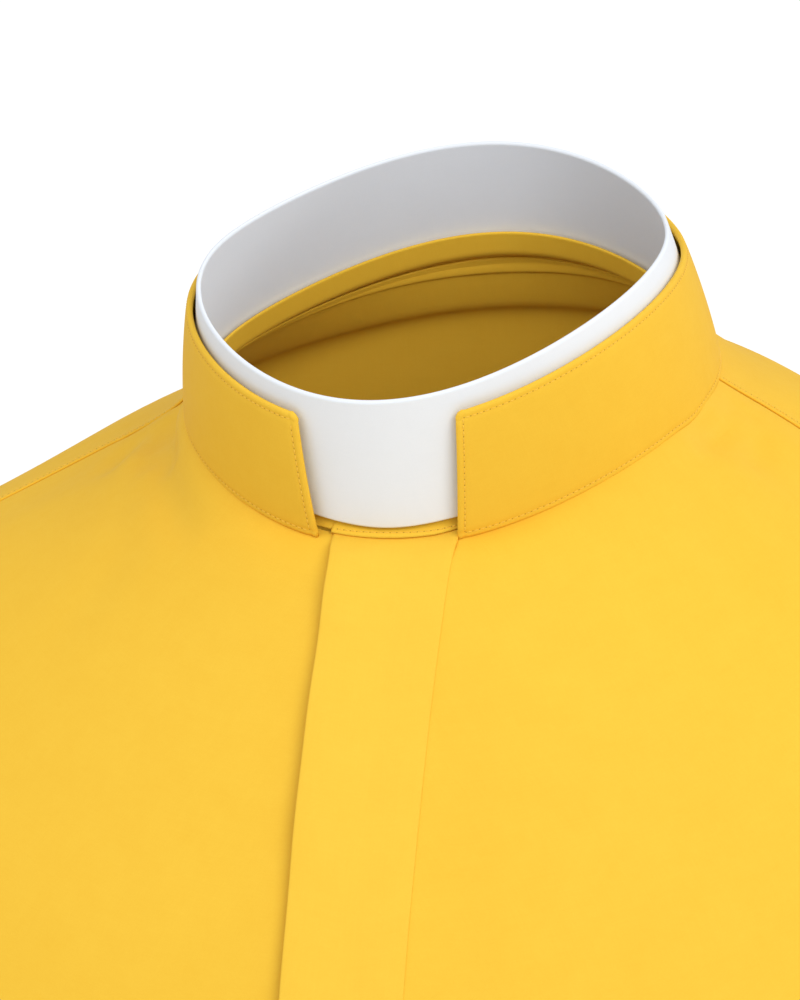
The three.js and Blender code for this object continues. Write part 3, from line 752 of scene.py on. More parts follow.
# %% Fronts
PLACKET_MIDDLE, PLACKET_HALF = 0.0035, 0.0159
UNDERLAP_EDGE = 0.0175
LEFT_LIFT, LEFT_LIFT_REACH, LEFT_LIFT_ROW, LEFT_DIP = 0.0011, 0.070, 0.9, 0.0002
MIDDLE_LINES = (-0.0014, -0.0006, 0.0, 0.0006, 0.0014, 0.0024, 0.0040)
ARM_ROWS, SIDE_ROWS = 60, 96


def front_edges():
    """For every row of a front: its row at the middle edge, its angle and row at the outer edge."""
    neck, (corner, corner_row) = math.radians(YOKE_NECK_ANGLE), YOKE_FRONT_END
    above = evenly(lambda s: plain_body(yoke_angle(neck, corner, s), s * corner_row), 0, 1, 64)[:-1]
    steps = np.linspace(YOKE_FRONT_STEP, UNDERARM_STEP, ARM_ROWS)
    below = evenly(lambda r: plain_body(0.6, r), UNDERARM_ROW, HEM_ROW, SIDE_ROWS)[1:]
    arm = armhole_place(steps)
    share = (steps - YOKE_FRONT_STEP) / (UNDERARM_STEP - YOKE_FRONT_STEP)
    beside_arm = corner_row + (UNDERARM_ROW - corner_row) * share
    middle = np.concatenate([above * corner_row, beside_arm, below])
    angle = np.concatenate([yoke_angle(neck, corner, above), arm[:, 0], np.full(len(below), math.pi / 2)])
    row = np.concatenate([above * corner_row, arm[:, 1], below])
    return middle, angle, row, len(above)


def front(name, side, middle_x):
    middle, angle, row, yoke_end = front_edges()
    share = np.linspace(0, 1, 64)
    rows = middle[:, None] + (row - middle)[:, None] * share**2
    start = side * angle_at_x(middle_x, rows)
    places = np.stack([start + (angle[:, None] - start) * share, rows], -1)
    mirrored = lambda a, b: plain_body(side * a, b)
    middle_lines = MIDDLE_LINES if side > 0 else OVER_LINES[1:]
    places = refine_edges(
        places, mirrored, last_column=OVER_LINES, first_column=middle_lines, last_row=HEM_LINES
    )
    turned = places * np.array([side, 1])
    _, hem, inner, outer = distances_all_round(on(plain_body, turned))
    upper = np.arange(len(places))[:, None] < yoke_end
    depth = np.where(upper, under(outer - PAST_SEAM), over(outer - PAST_SEAM)) + hem_fold(hem)
    if side > 0:
        inner = inner + MIDDLE_LINES[0]
        rise = smooth_step(turned[..., 1], 0, LEFT_LIFT_ROW) * hump(np.maximum(inner, 0), LEFT_LIFT_REACH)
        depth += LEFT_LIFT * rise - LEFT_DIP * (1 - smooth_step(inner, -0.0006, 0.0008))
    stitch = -1 - closest_line(OVER_LINES, EDGE_STITCH)
    arm_and_side, hem = np.s_[yoke_end + 1 : HEM_STITCH_ROW, stitch], np.s_[HEM_STITCH_ROW]
    keep(name, lay_body(turned, depth, name + "_cloth"), arm_and_side, hem)


front("front_left", 1, PLACKET_MIDDLE + PLACKET_HALF)
front("front_right", -1, UNDERLAP_EDGE)

# %% [markdown]
# ## Fly placket
# The placket is one folded strip of cloth on the wearer's left front. Its outer edge is sewn down from
# inside, so no stitches show, and its free edge stands off the right front, which throws the soft dark line
# down the chest. At the neck it lies flat, because it is sewn into the band there, and it is cut a little
# wider.

# %% Placket
PLACKET_CLOTH = 0.0008
PLACKET_LINES = (0.0, 0.0009, 0.0014, 0.0022, 0.0034, 0.0050)
PLACKET_FLARE, PLACKET_WAIST = 0.0019, 0.0004
PLACKET_LIFT, PLACKET_LOWER_LIFT, PLACKET_STAND = 0.0005, 0.0008, 0.0026
PLACKET_WAVES = ((0.00035, 2.1, 0.6), (0.00025, 4.7, 2.0))


def placket():
    lengthwise = evenly(lambda r: plain_body(0.0, r), 0, HEM_ROW, 230)
    share = np.linspace(-1, 1, 30)
    rows = np.broadcast_to(lengthwise[:, None], (len(lengthwise), len(share)))
    flare = PLACKET_FLARE * (1 - smooth_step(rows, 0.0, 1.0))
    flare = flare - PLACKET_WAIST * smooth_step(rows, 0.3, 1.0) * (1 - smooth_step(rows, 1.6, 4.0))
    x = PLACKET_MIDDLE + PLACKET_HALF * share - flare * (1 - share) / 2
    places = np.stack([angle_at_x(x, rows), rows], -1)
    places = refine_edges(
        places, plain_body, last_column=PLACKET_LINES, first_column=PLACKET_LINES, last_row=HEM_LINES
    )
    plain = on(plain_body, places)
    across = (plain[..., 0] - PLACKET_MIDDLE) / PLACKET_HALF
    down = places[..., 1]
    wave = sum(height * np.sin(down * pace + start) for height, pace, start in PLACKET_WAVES)
    stand = (PLACKET_STAND + wave) * smooth_step(down, 0.0, 0.9) * hump(across + 1, 1.25)
    lift = PLACKET_LIFT + PLACKET_LOWER_LIFT * smooth_step(down, 0.0, 0.6) + stand
    lift += hem_fold(edge_distance(plain, end=True, axis=0)) * 0.5
    keep("placket", lay_body(places, lift, "placket_cloth", PLACKET_CLOTH), np.s_[HEM_STITCH_ROW, 2:-2])


placket()

# %% [markdown]
# ## Yoke
# The yoke carries the whole shirt. Its front seams lie forward of the shoulders and are edge-stitched on the
# yoke's side, and its back seam crosses the shoulder blades.

# %% Yoke
def yoke_outer():
    """Places on the yoke's outer edge, from the front to the middle of the back on the wearer's left."""
    arm = armhole_place(np.linspace(YOKE_FRONT_STEP, YOKE_BACK_STEP, 22)[:-1])
    share = np.linspace(0, 1, 76)
    angle, row = armhole_place(YOKE_BACK_STEP)
    rows = row + (YOKE_BACK_ROW - row) * back_seam_share(share)
    return np.concatenate([arm, np.stack([angle + (math.pi - angle) * share, rows], -1)])


def yoke():
    half, start = yoke_outer(), math.radians(YOKE_NECK_ANGLE)
    neck = start + (math.pi - start) * np.linspace(0, 1, len(half))
    ends = np.concatenate([half, (half * [-1, 1] + [2 * math.pi, 0])[-2::-1]])
    necks = np.concatenate([neck, (2 * math.pi - neck)[-2::-1]])
    share = evenly(lambda s: plain_body(2.0, s * YOKE_FRONT_END[1]), 0, 1, 56)[:, None]
    places = np.stack([yoke_angle(necks, ends[:, 0], share), share * ends[:, 1]], -1)
    lines = (0.0,) + OVER_LINES[1:]
    places = refine_edges(places, plain_body, last_column=lines, first_column=lines, last_row=OVER_LINES)
    _, outer, *sides = distances_all_round(on(plain_body, places))
    depth = np.maximum(over(np.minimum(*sides)), 0) + over(outer - PAST_SEAM)
    near = closest_line(lines, EDGE_STITCH)
    far, low = -1 - near, -1 - closest_line(OVER_LINES, EDGE_STITCH)
    cuts = np.s_[1:low, near], np.s_[1:low, far], np.s_[low, near : far + 1]
    keep("yoke", lay_body(places, depth, "yoke_cloth"), *cuts)


yoke()

# %% [markdown]
# ## Back
# The back hangs from the yoke seam. It is one piece from armhole to armhole, and it dips under the yoke and
# under the fronts at the sides.

# %% Back
BACK_PAST_SIDE = 0.0003


def back():
    steps = np.linspace(YOKE_BACK_STEP, -UNDERARM_STEP, ARM_ROWS)
    arm = armhole_place(steps)
    share = (YOKE_BACK_STEP - steps) / (UNDERARM_STEP + YOKE_BACK_STEP)
    below = evenly(lambda r: plain_body(2.6, r), UNDERARM_ROW, HEM_ROW, SIDE_ROWS)[1:]
    angle = np.concatenate([arm[:, 0], np.full(len(below), math.pi / 2)])[:, None]
    row = np.concatenate([arm[:, 1], below])[:, None]
    middle = np.concatenate([YOKE_BACK_ROW + (UNDERARM_ROW - YOKE_BACK_ROW) * share, below])[:, None]
    across = np.linspace(-1, 1, 129)[None]
    inward = 1 - np.abs(across)
    rows = row + (middle - row) * back_seam_share(inward)
    angles = angle + (math.pi - angle) * inward
    places = np.stack([np.where(across < 0, angles, 2 * math.pi - angles), rows], -1)
    side_lines = (-BACK_PAST_SIDE,) + OVER_LINES[1:]
    places = refine_edges(places, plain_body, last_column=side_lines, first_column=side_lines)
    places = refine_edges(places, plain_body, first_row=UNDER_LINES, last_row=HEM_LINES)
    top, hem, *sides = distances_all_round(on(plain_body, places))
    sides = np.minimum(*sides) - BACK_PAST_SIDE
    low = smooth_step(np.arange(len(places))[:, None] + 0 * sides, ARM_ROWS - 2, ARM_ROWS + 8)
    depth = over(sides) * (1 - low) + under(sides) * low + under(top - UNDER_SEAM) + hem_fold(hem)
    near, beside_arm = closest_line(side_lines, EDGE_STITCH), slice(len(UNDER_LINES), ARM_ROWS + 2)
    cuts = (beside_arm, near), (beside_arm, -1 - near), np.s_[HEM_STITCH_ROW]
    keep("back", lay_body(places, depth, "back_cloth"), *cuts)


back()

# %% [markdown]
# ## Sleeves
# A sleeve starts on the armhole oval and passes into its own ovals down to the cuff. It hangs with a soft
# bend at the elbow, so the creases gather inside the bend, below the armpit and above the cuff.

# %% Sleeve sections and creases
TUBE_COLUMNS = "in_x in_z out_x out_z mid_y half_depth".split()
SLEEVE_SECTIONS = np.array([
    (0.2240, -0.250, 0.224, -0.075, 0.003, 0.068),
    (0.2265, -0.259, 0.256, -0.101, 0.005, 0.071),
    (0.2290, -0.268, 0.284, -0.148, 0.006, 0.076),
    (0.2335, -0.285, 0.309, -0.210, 0.008, 0.081),
    (0.2430, -0.322, 0.334, -0.289, 0.009, 0.082),
    (0.2670, -0.410, 0.354, -0.388, 0.010, 0.071),
    (0.2930, -0.512, 0.371, -0.497, 0.001, 0.059),
    (0.3120, -0.588, 0.382, -0.578, -0.013, 0.052),
    (0.3220, -0.634, 0.384, -0.627, -0.022, 0.042),
])
ARMHOLE_BLEND = 3.2
SLEEVE_FOLDS = [
    (120, 55, 2.10, 3.10, -0.0040),
    (235, 50, 2.40, 3.40, -0.0040),
    (105, 60, 4.30, 5.10, -0.0045),
    (120, 60, 4.90, 5.70, -0.0040),
    (250, 50, 5.45, 6.35, -0.0030),
    (60, 50, 6.50, 7.30, -0.0030),
]
SLEEVE_CREASES = [
    (178, 0.55, 118, 1.10, 0.0070, -0.0032),
    (176, 0.95, 128, 1.90, 0.0075, -0.0035),
    (186, 0.60, 240, 1.20, 0.0070, -0.0032),
    (184, 1.05, 232, 2.10, 0.0080, -0.0032),
    (160, 1.60, 100, 2.20, 0.0070, -0.0023),
    (200, 1.80, 262, 2.50, 0.0070, -0.0023),
    (70, 4.30, 138, 4.62, 0.0065, -0.0035),
    (62, 4.95, 150, 4.90, 0.0060, -0.0032),
    (78, 5.55, 146, 5.25, 0.0065, -0.0032),
    (300, 4.55, 350, 4.80, 0.0090, -0.0020),
    (215, 5.20, 268, 5.55, 0.0080, -0.0026),
    (20, 6.30, 84, 6.55, 0.0070, -0.0026),
    (150, 6.10, 214, 6.50, 0.0075, -0.0029),
    (255, 6.60, 318, 6.90, 0.0070, -0.0026),
    (70, 7.25, 92, 8.10, 0.0050, -0.0032),
    (112, 7.20, 124, 8.10, 0.0050, -0.0029),
    (330, 7.15, 338, 8.10, 0.0055, -0.0029),
    (232, 7.30, 226, 8.10, 0.0050, -0.0026),
    (8, 7.35, 14, 8.10, 0.0055, -0.0023),
]
OTHER_SIDE_TURN, OTHER_SIDE_PLACE, OTHER_SIDE_DEPTH = math.radians(7), -0.12, 0.88


def oval_point(sections, side, turn, place):
    value = named(TUBE_COLUMNS, sections, place)
    reach_x = (value["out_x"] - value["in_x"]) / 2
    reach_z = (value["out_z"] - value["in_z"]) / 2
    x = value["in_x"] + reach_x * (1 + np.cos(turn))
    z = value["in_z"] + reach_z * (1 + np.cos(turn))
    return np.stack([side * x, value["mid_y"] - value["half_depth"] * np.sin(turn), z], -1)


def sleeve_point(side, turn, place):
    turn, place = np.broadcast_arrays(np.asarray(turn, float), np.asarray(place, float))
    seam = armhole_place(turn / (2 * math.pi) * ARMHOLE["steps"])
    on_body = body_point(side * seam[..., 0], seam[..., 1])
    offset = on_body - oval_point(SLEEVE_SECTIONS, side, turn, 0 * place)
    share = np.clip(1 - np.maximum(place, 0) / ARMHOLE_BLEND, 0, 1)[..., None]
    point = oval_point(SLEEVE_SECTIONS, side, turn, place) + offset * share**2
    middle = (oval_point(SLEEVE_SECTIONS, side, turn + math.pi, place) + point) / 2
    return point + unit(point - middle) * folds(SLEEVE_FOLDS, turn, place)[..., None]


def sleeve_creases(side, points):
    """The right sleeve has the same creases, a little turned, moved and softened."""
    other, last = side < 0, len(SLEEVE_SECTIONS) - 1

    def line_at(turn, place):
        at = np.clip(place + OTHER_SIDE_PLACE * other, 0, last)
        return sleeve_point(side, turn + OTHER_SIDE_TURN * other, at)

    return creases(points, SLEEVE_CREASES, line_at) * (OTHER_SIDE_DEPTH if other else 1)


print(f"{len(SLEEVE_FOLDS)} long folds and {len(SLEEVE_CREASES)} short creases on a sleeve")

# %% Sleeves as shells
SLEEVE_CLOTH = 0.0007
SLEEVE_AROUND = 120


def sleeve(name, side):
    last = len(SLEEVE_SECTIONS) - 1
    places = evenly(lambda p: sleeve_point(side, np.full_like(p, 1.2), p), 0, last, 118)
    places = np.concatenate([places[:1], [0.02, 0.05], places[1:]])
    turn, place = np.meshgrid(circle(SLEEVE_AROUND), places)
    plain = sleeve_point(side, turn, place)
    out = grid_out(plain, True, (plain - np.roll(plain, SLEEVE_AROUND // 2, 1)) / 2)
    seam = edge_distance(plain, axis=0)
    depth = sleeve_creases(side, plain) * smooth_step(seam, 0.001, 0.012) + under(seam, 0.004)
    face = plain + out * depth[..., None]
    keep(name, shell(name + "_cloth", face, out, SLEEVE_CLOTH, wrap=True), wrap=True)


sleeve("sleeve_left", 1)
sleeve("sleeve_right", -1)

# %% [markdown]
# ## Cuffs
# A cuff is a stiff doubled band. Its two ends overlap at the wrist, the outer end holds the buttonhole and
# the button shows on it. The band is laid round the cuff's ovals as an open strip, so the overlap is real.

# %% Cuffs
CUFF_SECTIONS = np.array([
    (0.3218, -0.6341, 0.3842, -0.6271, -0.022, 0.0422),
    (0.3260, -0.6680, 0.3880, -0.6610, -0.028, 0.0418),
    (0.3305, -0.7010, 0.3915, -0.6940, -0.034, 0.0410),
])
CUFF_CLOTH = 0.0011
CUFF_END, CUFF_OVERLAP = 291, 24
CUFF_LINES = (0.0, 0.0009, 0.0015, 0.0020, 0.0025, 0.0033, 0.0050)
CUFF_STITCH = 0.0020
CUFF_RAISED, CUFF_RAMP = 0.0012, (CUFF_OVERLAP + 3, CUFF_OVERLAP + 50)


def cuff_point(side, turn, place):
    return oval_point(CUFF_SECTIONS, side, turn, place)


def cuff(name, side):
    surface = lambda turn, place: cuff_point(side, turn, place)
    degrees = np.linspace(CUFF_END, CUFF_END + 360 + CUFF_OVERLAP, 140)
    places = np.stack(np.meshgrid(np.radians(degrees), np.linspace(0, 2, 22)), -1)
    places = refine_all_round(places, surface, CUFF_LINES)
    plain = on(surface, places)
    out = grid_out(plain, False, plain - surface(places[..., 0] + math.pi, places[..., 1]))
    past = np.degrees(places[..., 0]) - CUFF_END
    raised = CUFF_RAISED * (1 - smooth_step(past, *CUFF_RAMP))
    stitched_edges = distances_all_round(plain)[:3]
    depth = raised + sum(groove(edge, CUFF_STITCH, depth=0.00014) for edge in stitched_edges)
    near = closest_line(CUFF_LINES, CUFF_STITCH)
    far, inside = -1 - near, slice(near, -1 - near)
    parts = shell(name + "_cloth", plain + out * depth[..., None], out, CUFF_CLOTH)
    keep(name, parts, (near, inside), (far, inside), (inside, near))


cuff("cuff_left", 1)
cuff("cuff_right", -1)

# %% [markdown]
# ## Collar, insert and neckband
# Three rings stand on the neck seam. The outer collar is stiff doubled cloth, open in front, and its top
# corners are turned round. The white insert stands inside it, a little higher. The neckband is the
# low strip that the insert stands on.

# %% Rings of the neck
RING_COLUMNS = "half_width half_depth mid_y mid_z drop rise".split()
COLLAR_FOOT = dict(zip(RING_COLUMNS, (0.0718, 0.0758, 0.0045, 0.0012, 0.0303, 0.0227)))
COLLAR_TOP = dict(zip(RING_COLUMNS, (0.0656, 0.0772, -0.0100, 0.0334, 0.0293, 0.0199)))
INSERT_TOP = dict(zip(RING_COLUMNS, (0.0619, 0.0732, -0.0134, 0.0388, 0.0283, 0.0212)))
COLLAR_LEAN, COLLAR_BOW = 0.0295, 0.0007
COLLAR_RAISED = 0.0004
GAP_FOOT, GAP_TOP = (15.1, 360 - 15.65), (20.15, 360 - 17.9)
INSERT_LIFT, INSERT_SIDE_LIFT, INSERT_LIFT_ANGLE = 0.0028, 0.0012, 20


def outward_at(angle):
    return np.stack([np.sin(angle), -np.cos(angle), 0 * angle], -1)


def ring_point(ring, angle):
    along = np.cos(angle)
    x, y = ring["half_width"] * np.sin(angle), ring["mid_y"] - ring["half_depth"] * along
    z = ring_height(along, ring["mid_z"] - ring["drop"], ring["mid_z"], ring["mid_z"] + ring["rise"])
    return np.stack([x - COLLAR_LEAN * z, y, z + COLLAR_LEAN * x], -1)


def body_height(x, y):
    """Height of the body cloth just outside the neck seam, where the sections are ellipses."""
    near, far = np.zeros_like(x), np.ones_like(x)
    for _ in range(20):
        row = (near + far) / 2
        value = named(BODY_COLUMNS, BODY_SECTIONS, row)
        ahead = y < value["side_y"]
        reach = np.where(ahead, value["front"] + value["side_y"], value["back"] - value["side_y"])
        across, along = x / value["half_width"], (value["side_y"] - y) / reach
        beyond = np.hypot(across, along) > 1
        near, far = np.where(beyond, row, near), np.where(beyond, far, row)
    angle = np.arctan2(across, along)
    return plain_body(angle, near)[..., 2] + folds(BODY_FOLDS, angle, near)


def collar_point(angle, share):
    """Outer collar from its foot, which is seated on the body cloth, to its top."""
    angle, share = np.broadcast_arrays(np.asarray(angle, float), np.asarray(share, float))
    foot, top = ring_point(COLLAR_FOOT, angle), ring_point(COLLAR_TOP, angle)
    foot[..., 2] = body_height(foot[..., 0], foot[..., 1]) + COLLAR_RAISED
    bow = COLLAR_BOW * 4 * share * (1 - share)
    return foot + (top - foot) * share[..., None] + outward_at(angle) * bow[..., None]


print("collar at the side, foot and top:", np.round(collar_point(math.pi / 2, [0, 1]), 4).tolist())

# %% Outer collar
COLLAR_CLOTH = 0.0017
COLLAR_LINES = (0.0, 0.0014, 0.0018, 0.0022, 0.0027, 0.0036, 0.0055)
COLLAR_STITCH = 0.0018
COLLAR_CORNER, CORNER_LINE = 0.0026, 8


def collar():
    share = np.linspace(0, 1, 22)[:, None]
    start, end = (foot + (top - foot) * share for foot, top in zip(GAP_FOOT, GAP_TOP))
    lines = np.linspace(0, 1, 220)[None]
    places = np.stack([np.radians(start + (end - start) * lines), share + 0 * lines], -1)
    places = refine_all_round(places, collar_point, COLLAR_LINES)
    places = round_corners(places, collar_point, COLLAR_CORNER)
    plain = on(collar_point, places)
    outward = outward_at(places[..., 0])
    out = grid_out(plain, False, outward)
    edges = distances_all_round(plain)
    depth = sum(groove(edge, COLLAR_STITCH, depth=0.00022, width=0.0006) for edge in edges)
    near = closest_line(COLLAR_LINES, COLLAR_STITCH)
    far, inside = -1 - near, slice(near, -near)
    parts = shell("collar_cloth", plain + out * depth[..., None], outward, COLLAR_CLOTH)
    keep("collar", parts, (near, inside), (far, inside), (inside, near), (inside, far))


def round_corners(places, surface, radius):
    """Turns both ends of the last row round, as a square is pressed into a disc."""
    points = on(surface, places)

    def per_metre(inner, edge, column):
        change = places[inner][..., column] - places[edge][..., column]
        return change / np.linalg.norm(points[inner] - points[edge], axis=-1)

    high = np.clip(1 - edge_distance(points, end=True, axis=0) / radius, 0, 1)
    share_per_metre = per_metre(-1 - CORNER_LINE, -1, 1)
    moved = places.copy()
    for end in (False, True):
        near = np.clip(1 - edge_distance(points, end=end) / radius, 0, 1)
        edge, inner = (-1, -1 - CORNER_LINE) if end else (0, CORNER_LINE)
        turn_per_metre = per_metre(np.s_[:, inner], np.s_[:, edge], 0)[:, None]
        moved[..., 0] += radius * near * (1 - np.sqrt(1 - high**2 / 2)) * turn_per_metre
        moved[..., 1] += radius * high * (1 - np.sqrt(1 - near**2 / 2)) * share_per_metre
    return moved


collar()

# %% Insert and neckband
INSERT_CLOTH, NECKBAND_CLOTH = 0.0013, 0.0009
BAND_LINES = (0.0, 0.0008, 0.0011, 0.0014, 0.0019, 0.0030)
BAND_LOW_ROWS = (0.0004, 0.0008, 0.0013, 0.0016, 0.0019, 0.0023)
BAND_HIGH_ROWS = np.linspace(0.0029, 0.0105, 11)
NECKBAND_END, NECKBAND_OVERLAP, NECKBAND_STITCH = -12.2, 18, 0.0017
NECKBAND_OVER, NECKBAND_SUNK, NECKBAND_BEHIND = 0.0014, 0.0001, 0.0026
NECKBAND_STITCH_ROW, NECKBAND_STITCH_END, NECKBAND_SHOWN = 3, 0.021, (22, 31)


def insert_rise(angle):
    away = np.degrees(np.abs(np.arctan2(np.sin(angle), np.cos(angle))))
    return INSERT_LIFT + INSERT_SIDE_LIFT * smooth_step(away, 0, INSERT_LIFT_ANGLE)


def inner_band_point(angle, height):
    angle, height = np.broadcast_arrays(np.asarray(angle, float), np.asarray(height, float))
    foot = plain_body(angle, 0 * angle)
    return foot + unit(ring_point(INSERT_TOP, angle) - foot) * height[..., None]


def neckband():
    """An open strip: its upper end shows in the gap, and it slopes in behind the insert."""
    degrees = np.linspace(0, 360 + NECKBAND_OVERLAP, 280) + NECKBAND_END
    height = np.concatenate([BAND_LOW_ROWS, BAND_HIGH_ROWS])
    places = np.stack(np.meshgrid(np.radians(degrees), height), -1)
    places = refine(places, inner_band_point, BAND_LINES)
    turn, up = places[..., 0], places[..., 1]
    plain = on(inner_band_point, places)
    out = grid_out(plain, False, outward_at(turn))
    behind = smooth_step(up, 0.0009, insert_rise(turn))
    shown = 1 - smooth_step(np.degrees(turn) - NECKBAND_END, *NECKBAND_SHOWN)
    depth = NECKBAND_OVER * shown * (1 - behind) - NECKBAND_SUNK - NECKBAND_BEHIND * behind
    depth += groove(up, NECKBAND_STITCH, depth=0.00010, width=0.0003)
    parts = shell("neckband_cloth", plain + out * depth[..., None], outward_at(turn), NECKBAND_CLOTH)
    row_x = parts[1][NECKBAND_STITCH_ROW, : turn.shape[1] // 2, 0]
    far = int(np.argmin(np.abs(row_x - NECKBAND_STITCH_END)))
    keep("neckband", parts, np.s_[NECKBAND_STITCH_ROW, 3:far])


def insert():
    turns = circle(260)
    whole = np.linalg.norm(ring_point(INSERT_TOP, turns) - plain_body(turns, 0 * turns), axis=-1)
    share = np.concatenate([[0, 0.02, 0.05], np.linspace(0.1, 0.9, 14), [0.95, 0.975, 1]])[:, None]
    rise = insert_rise(turns)
    turn = np.broadcast_to(turns, (len(share), len(turns)))
    face = inner_band_point(turn, rise + (whole - rise) * share)
    keep("insert", shell("insert_band", face, outward_at(turn), INSERT_CLOTH, wrap=True), wrap=True)


insert()
neckband()

# %% [markdown]
# ## All the sewing
# The threads of a piece are one object that belongs to the cloth they are sewn through. Small dark discs of
# painted shade in the needle holes between the stitches make a fine row of sewing readable from a distance,
# as on the real shirt.

# %% Threads, and painted shade in the needle holes
# Size and lift of the flat dark discs: painted shade where the needle holes are.
HOLE_RADIUS, HOLE_STRETCH, HOLE_LIFT = 0.00018, 1.2, 0.00004


def painted_hole_shadows(points, out):
    """Small flat hexagons of painted shade in the needle holes between the stitches of a line: points and
    faces.
    """
    along = along_line(points)
    places = stitch_starts(along) - (STITCH_PITCH - STITCH_LENGTH) / 2
    places = places[places > 0]
    at = read_line(points, along, places)
    up = unit(read_line(out, along, places))
    way = unit(read_line(points, along, places + 0.0002) - at)
    side = np.cross(way, up)
    hexagons = rings_round(at + up * HOLE_LIFT, way * HOLE_STRETCH, side, HOLE_RADIUS, circle(6))
    return hexagons.reshape(-1, 3), [tuple(range(n * 6, n * 6 + 6)) for n in range(len(at))]


def holes(name, lines):
    """One object with the painted shade in the needle holes of several lines, flat and open, so no normals
    are turned.
    """
    points, faces = join(painted_hole_shadows(*line) for line in lines)
    mesh = bpy.data.meshes.new(name)
    mesh.from_pydata([tuple(p) for p in points], [], faces)
    return link(name, mesh)


SEAMS = {name: lines for name, (_, _, lines) in MADE.items() if lines}
threads = {name: sewing(name + "_stitches", lines) for name, lines in SEAMS.items()}
hole_shade_objects = {name: holes(name + "_painted_hole_shadows", lines) for name, lines in SEAMS.items()}
print("needle holes:", sum(len(o.data.polygons) for o in hole_shade_objects.values()))

# %% [markdown]
# ## Cuff buttons
# A shirt button is a small turned disc with a raised rim, a dished middle and four holes, sewn on with a
# cross of thread. The disc is turned from its profile, and four rods are taken out of it.

# %% Buttons
BUTTON_AROUND, BUTTON_PLACE = 305, 1
BUTTON_RADIUS, BUTTON_THICKNESS, BUTTON_GAP = 0.0053, 0.0022, 0.0003
BUTTON_HOLE, BUTTON_HOLE_REACH = 0.00075, 0.0012
BUTTON_SIDES = 48
BUTTON_PROFILE = (
    (0.0, -0.5), (0.82, -0.5), (0.96, -0.3), (1.0, 0.1), (0.95, 0.42),
    (0.86, 0.5), (0.76, 0.44), (0.62, 0.22), (0.45, 0.12), (0.0, 0.10),
)
CROSS_THREAD, CROSS_STEP, CROSS_HEIGHT = 0.00016, 0.00022, 0.00045
SHANK_RADIUS, SHANK_LOW, SHANK_HIGH = 0.0009, -0.0026, -0.0006


def turned_button(name):
    points = []
    for reach, height in BUTTON_PROFILE:
        radius, z = BUTTON_RADIUS * reach, height * BUTTON_THICKNESS
        turns = circle(BUTTON_SIDES) if reach else [0.0]
        points += [(radius * math.cos(t), radius * math.sin(t), z) for t in turns]
    return mesh_object(name, points, turned_faces(len(BUTTON_PROFILE) - 2, BUTTON_SIDES))


def rod(radius, start, end, sides=14):
    """Points and faces of a closed rod between two points."""
    start, end = np.array(start, float), np.array(end, float)
    way = unit(end - start)
    side = unit(np.cross(way, [0.3, 0.9, 0.1]))
    up = np.cross(way, side)
    turns = circle(sides)
    ring = radius * (np.cos(turns)[:, None] * side + np.sin(turns)[:, None] * up)
    points = np.concatenate([start + ring, end + ring])
    faces = [(k, (k + 1) % sides, sides + (k + 1) % sides, sides + k) for k in range(sides)]
    return points, faces + [tuple(reversed(range(sides))), tuple(range(sides, 2 * sides))]


def cuff_button(name, side):
    turn, place = np.array([math.radians(BUTTON_AROUND)]), np.array([float(BUTTON_PLACE)])
    at = cuff_point(side, turn, place)[0]
    across = at - cuff_point(side, turn + math.pi, place)[0]
    ahead = cuff_point(side, turn + 0.05, place)[0] - cuff_point(side, turn - 0.05, place)[0]
    down = cuff_point(side, turn, place + 0.05)[0] - cuff_point(side, turn, place - 0.05)[0]
    out = unit(np.cross(ahead, down))
    out = out * np.sign(out @ across)
    middle = at + out * (CUFF_RAISED + BUTTON_GAP + BUTTON_THICKNESS / 2)
    turned = Vector(out).to_track_quat("Z", "Y").to_matrix().to_4x4()
    placed = Matrix.Translation(Vector(middle)) @ turned
    disc = turned_button(name)
    cutters = []
    for k in range(4):
        angle = math.pi / 4 + k * math.pi / 2
        x, y = BUTTON_HOLE_REACH * math.cos(angle), BUTTON_HOLE_REACH * math.sin(angle)
        cutters.append(mesh_object("rod", *rod(BUTTON_HOLE, (x, y, -0.003), (x, y, 0.003))))
    for cutter in cutters:
        take = disc.modifiers.new("hole", "BOOLEAN")
        take.operation, take.object, take.solver = "DIFFERENCE", cutter, "EXACT"
    depsgraph = bpy.context.evaluated_depsgraph_get()
    cut = bpy.data.meshes.new_from_object(disc.evaluated_get(depsgraph))
    disc.modifiers.clear()
    disc.data = cut
    disc.data.transform(placed)
    for cutter in cutters:
        bpy.data.objects.remove(cutter)
    reach, strands = BUTTON_HOLE_REACH * math.sqrt(0.5), []
    for sign in (1, -1):
        for offset in (-CROSS_STEP, 0, CROSS_STEP):
            low = (-reach + offset, -sign * (reach + offset), CROSS_HEIGHT)
            high = (reach + offset, sign * (reach - offset), CROSS_HEIGHT)
            strands.append(rod(CROSS_THREAD, low, high, 6))
    strands.append(rod(SHANK_RADIUS, (0, 0, SHANK_LOW), (0, 0, SHANK_HIGH), 10))
    thread = mesh_object(name.replace("button", "button_thread"), *join(strands))
    thread.data.transform(placed)
    return disc, thread


button_left, thread_left = cuff_button("cuff_button_left_disc", 1)
button_right, thread_right = cuff_button("cuff_button_right_disc", -1)
print("button:", len(button_left.data.polygons), "faces")
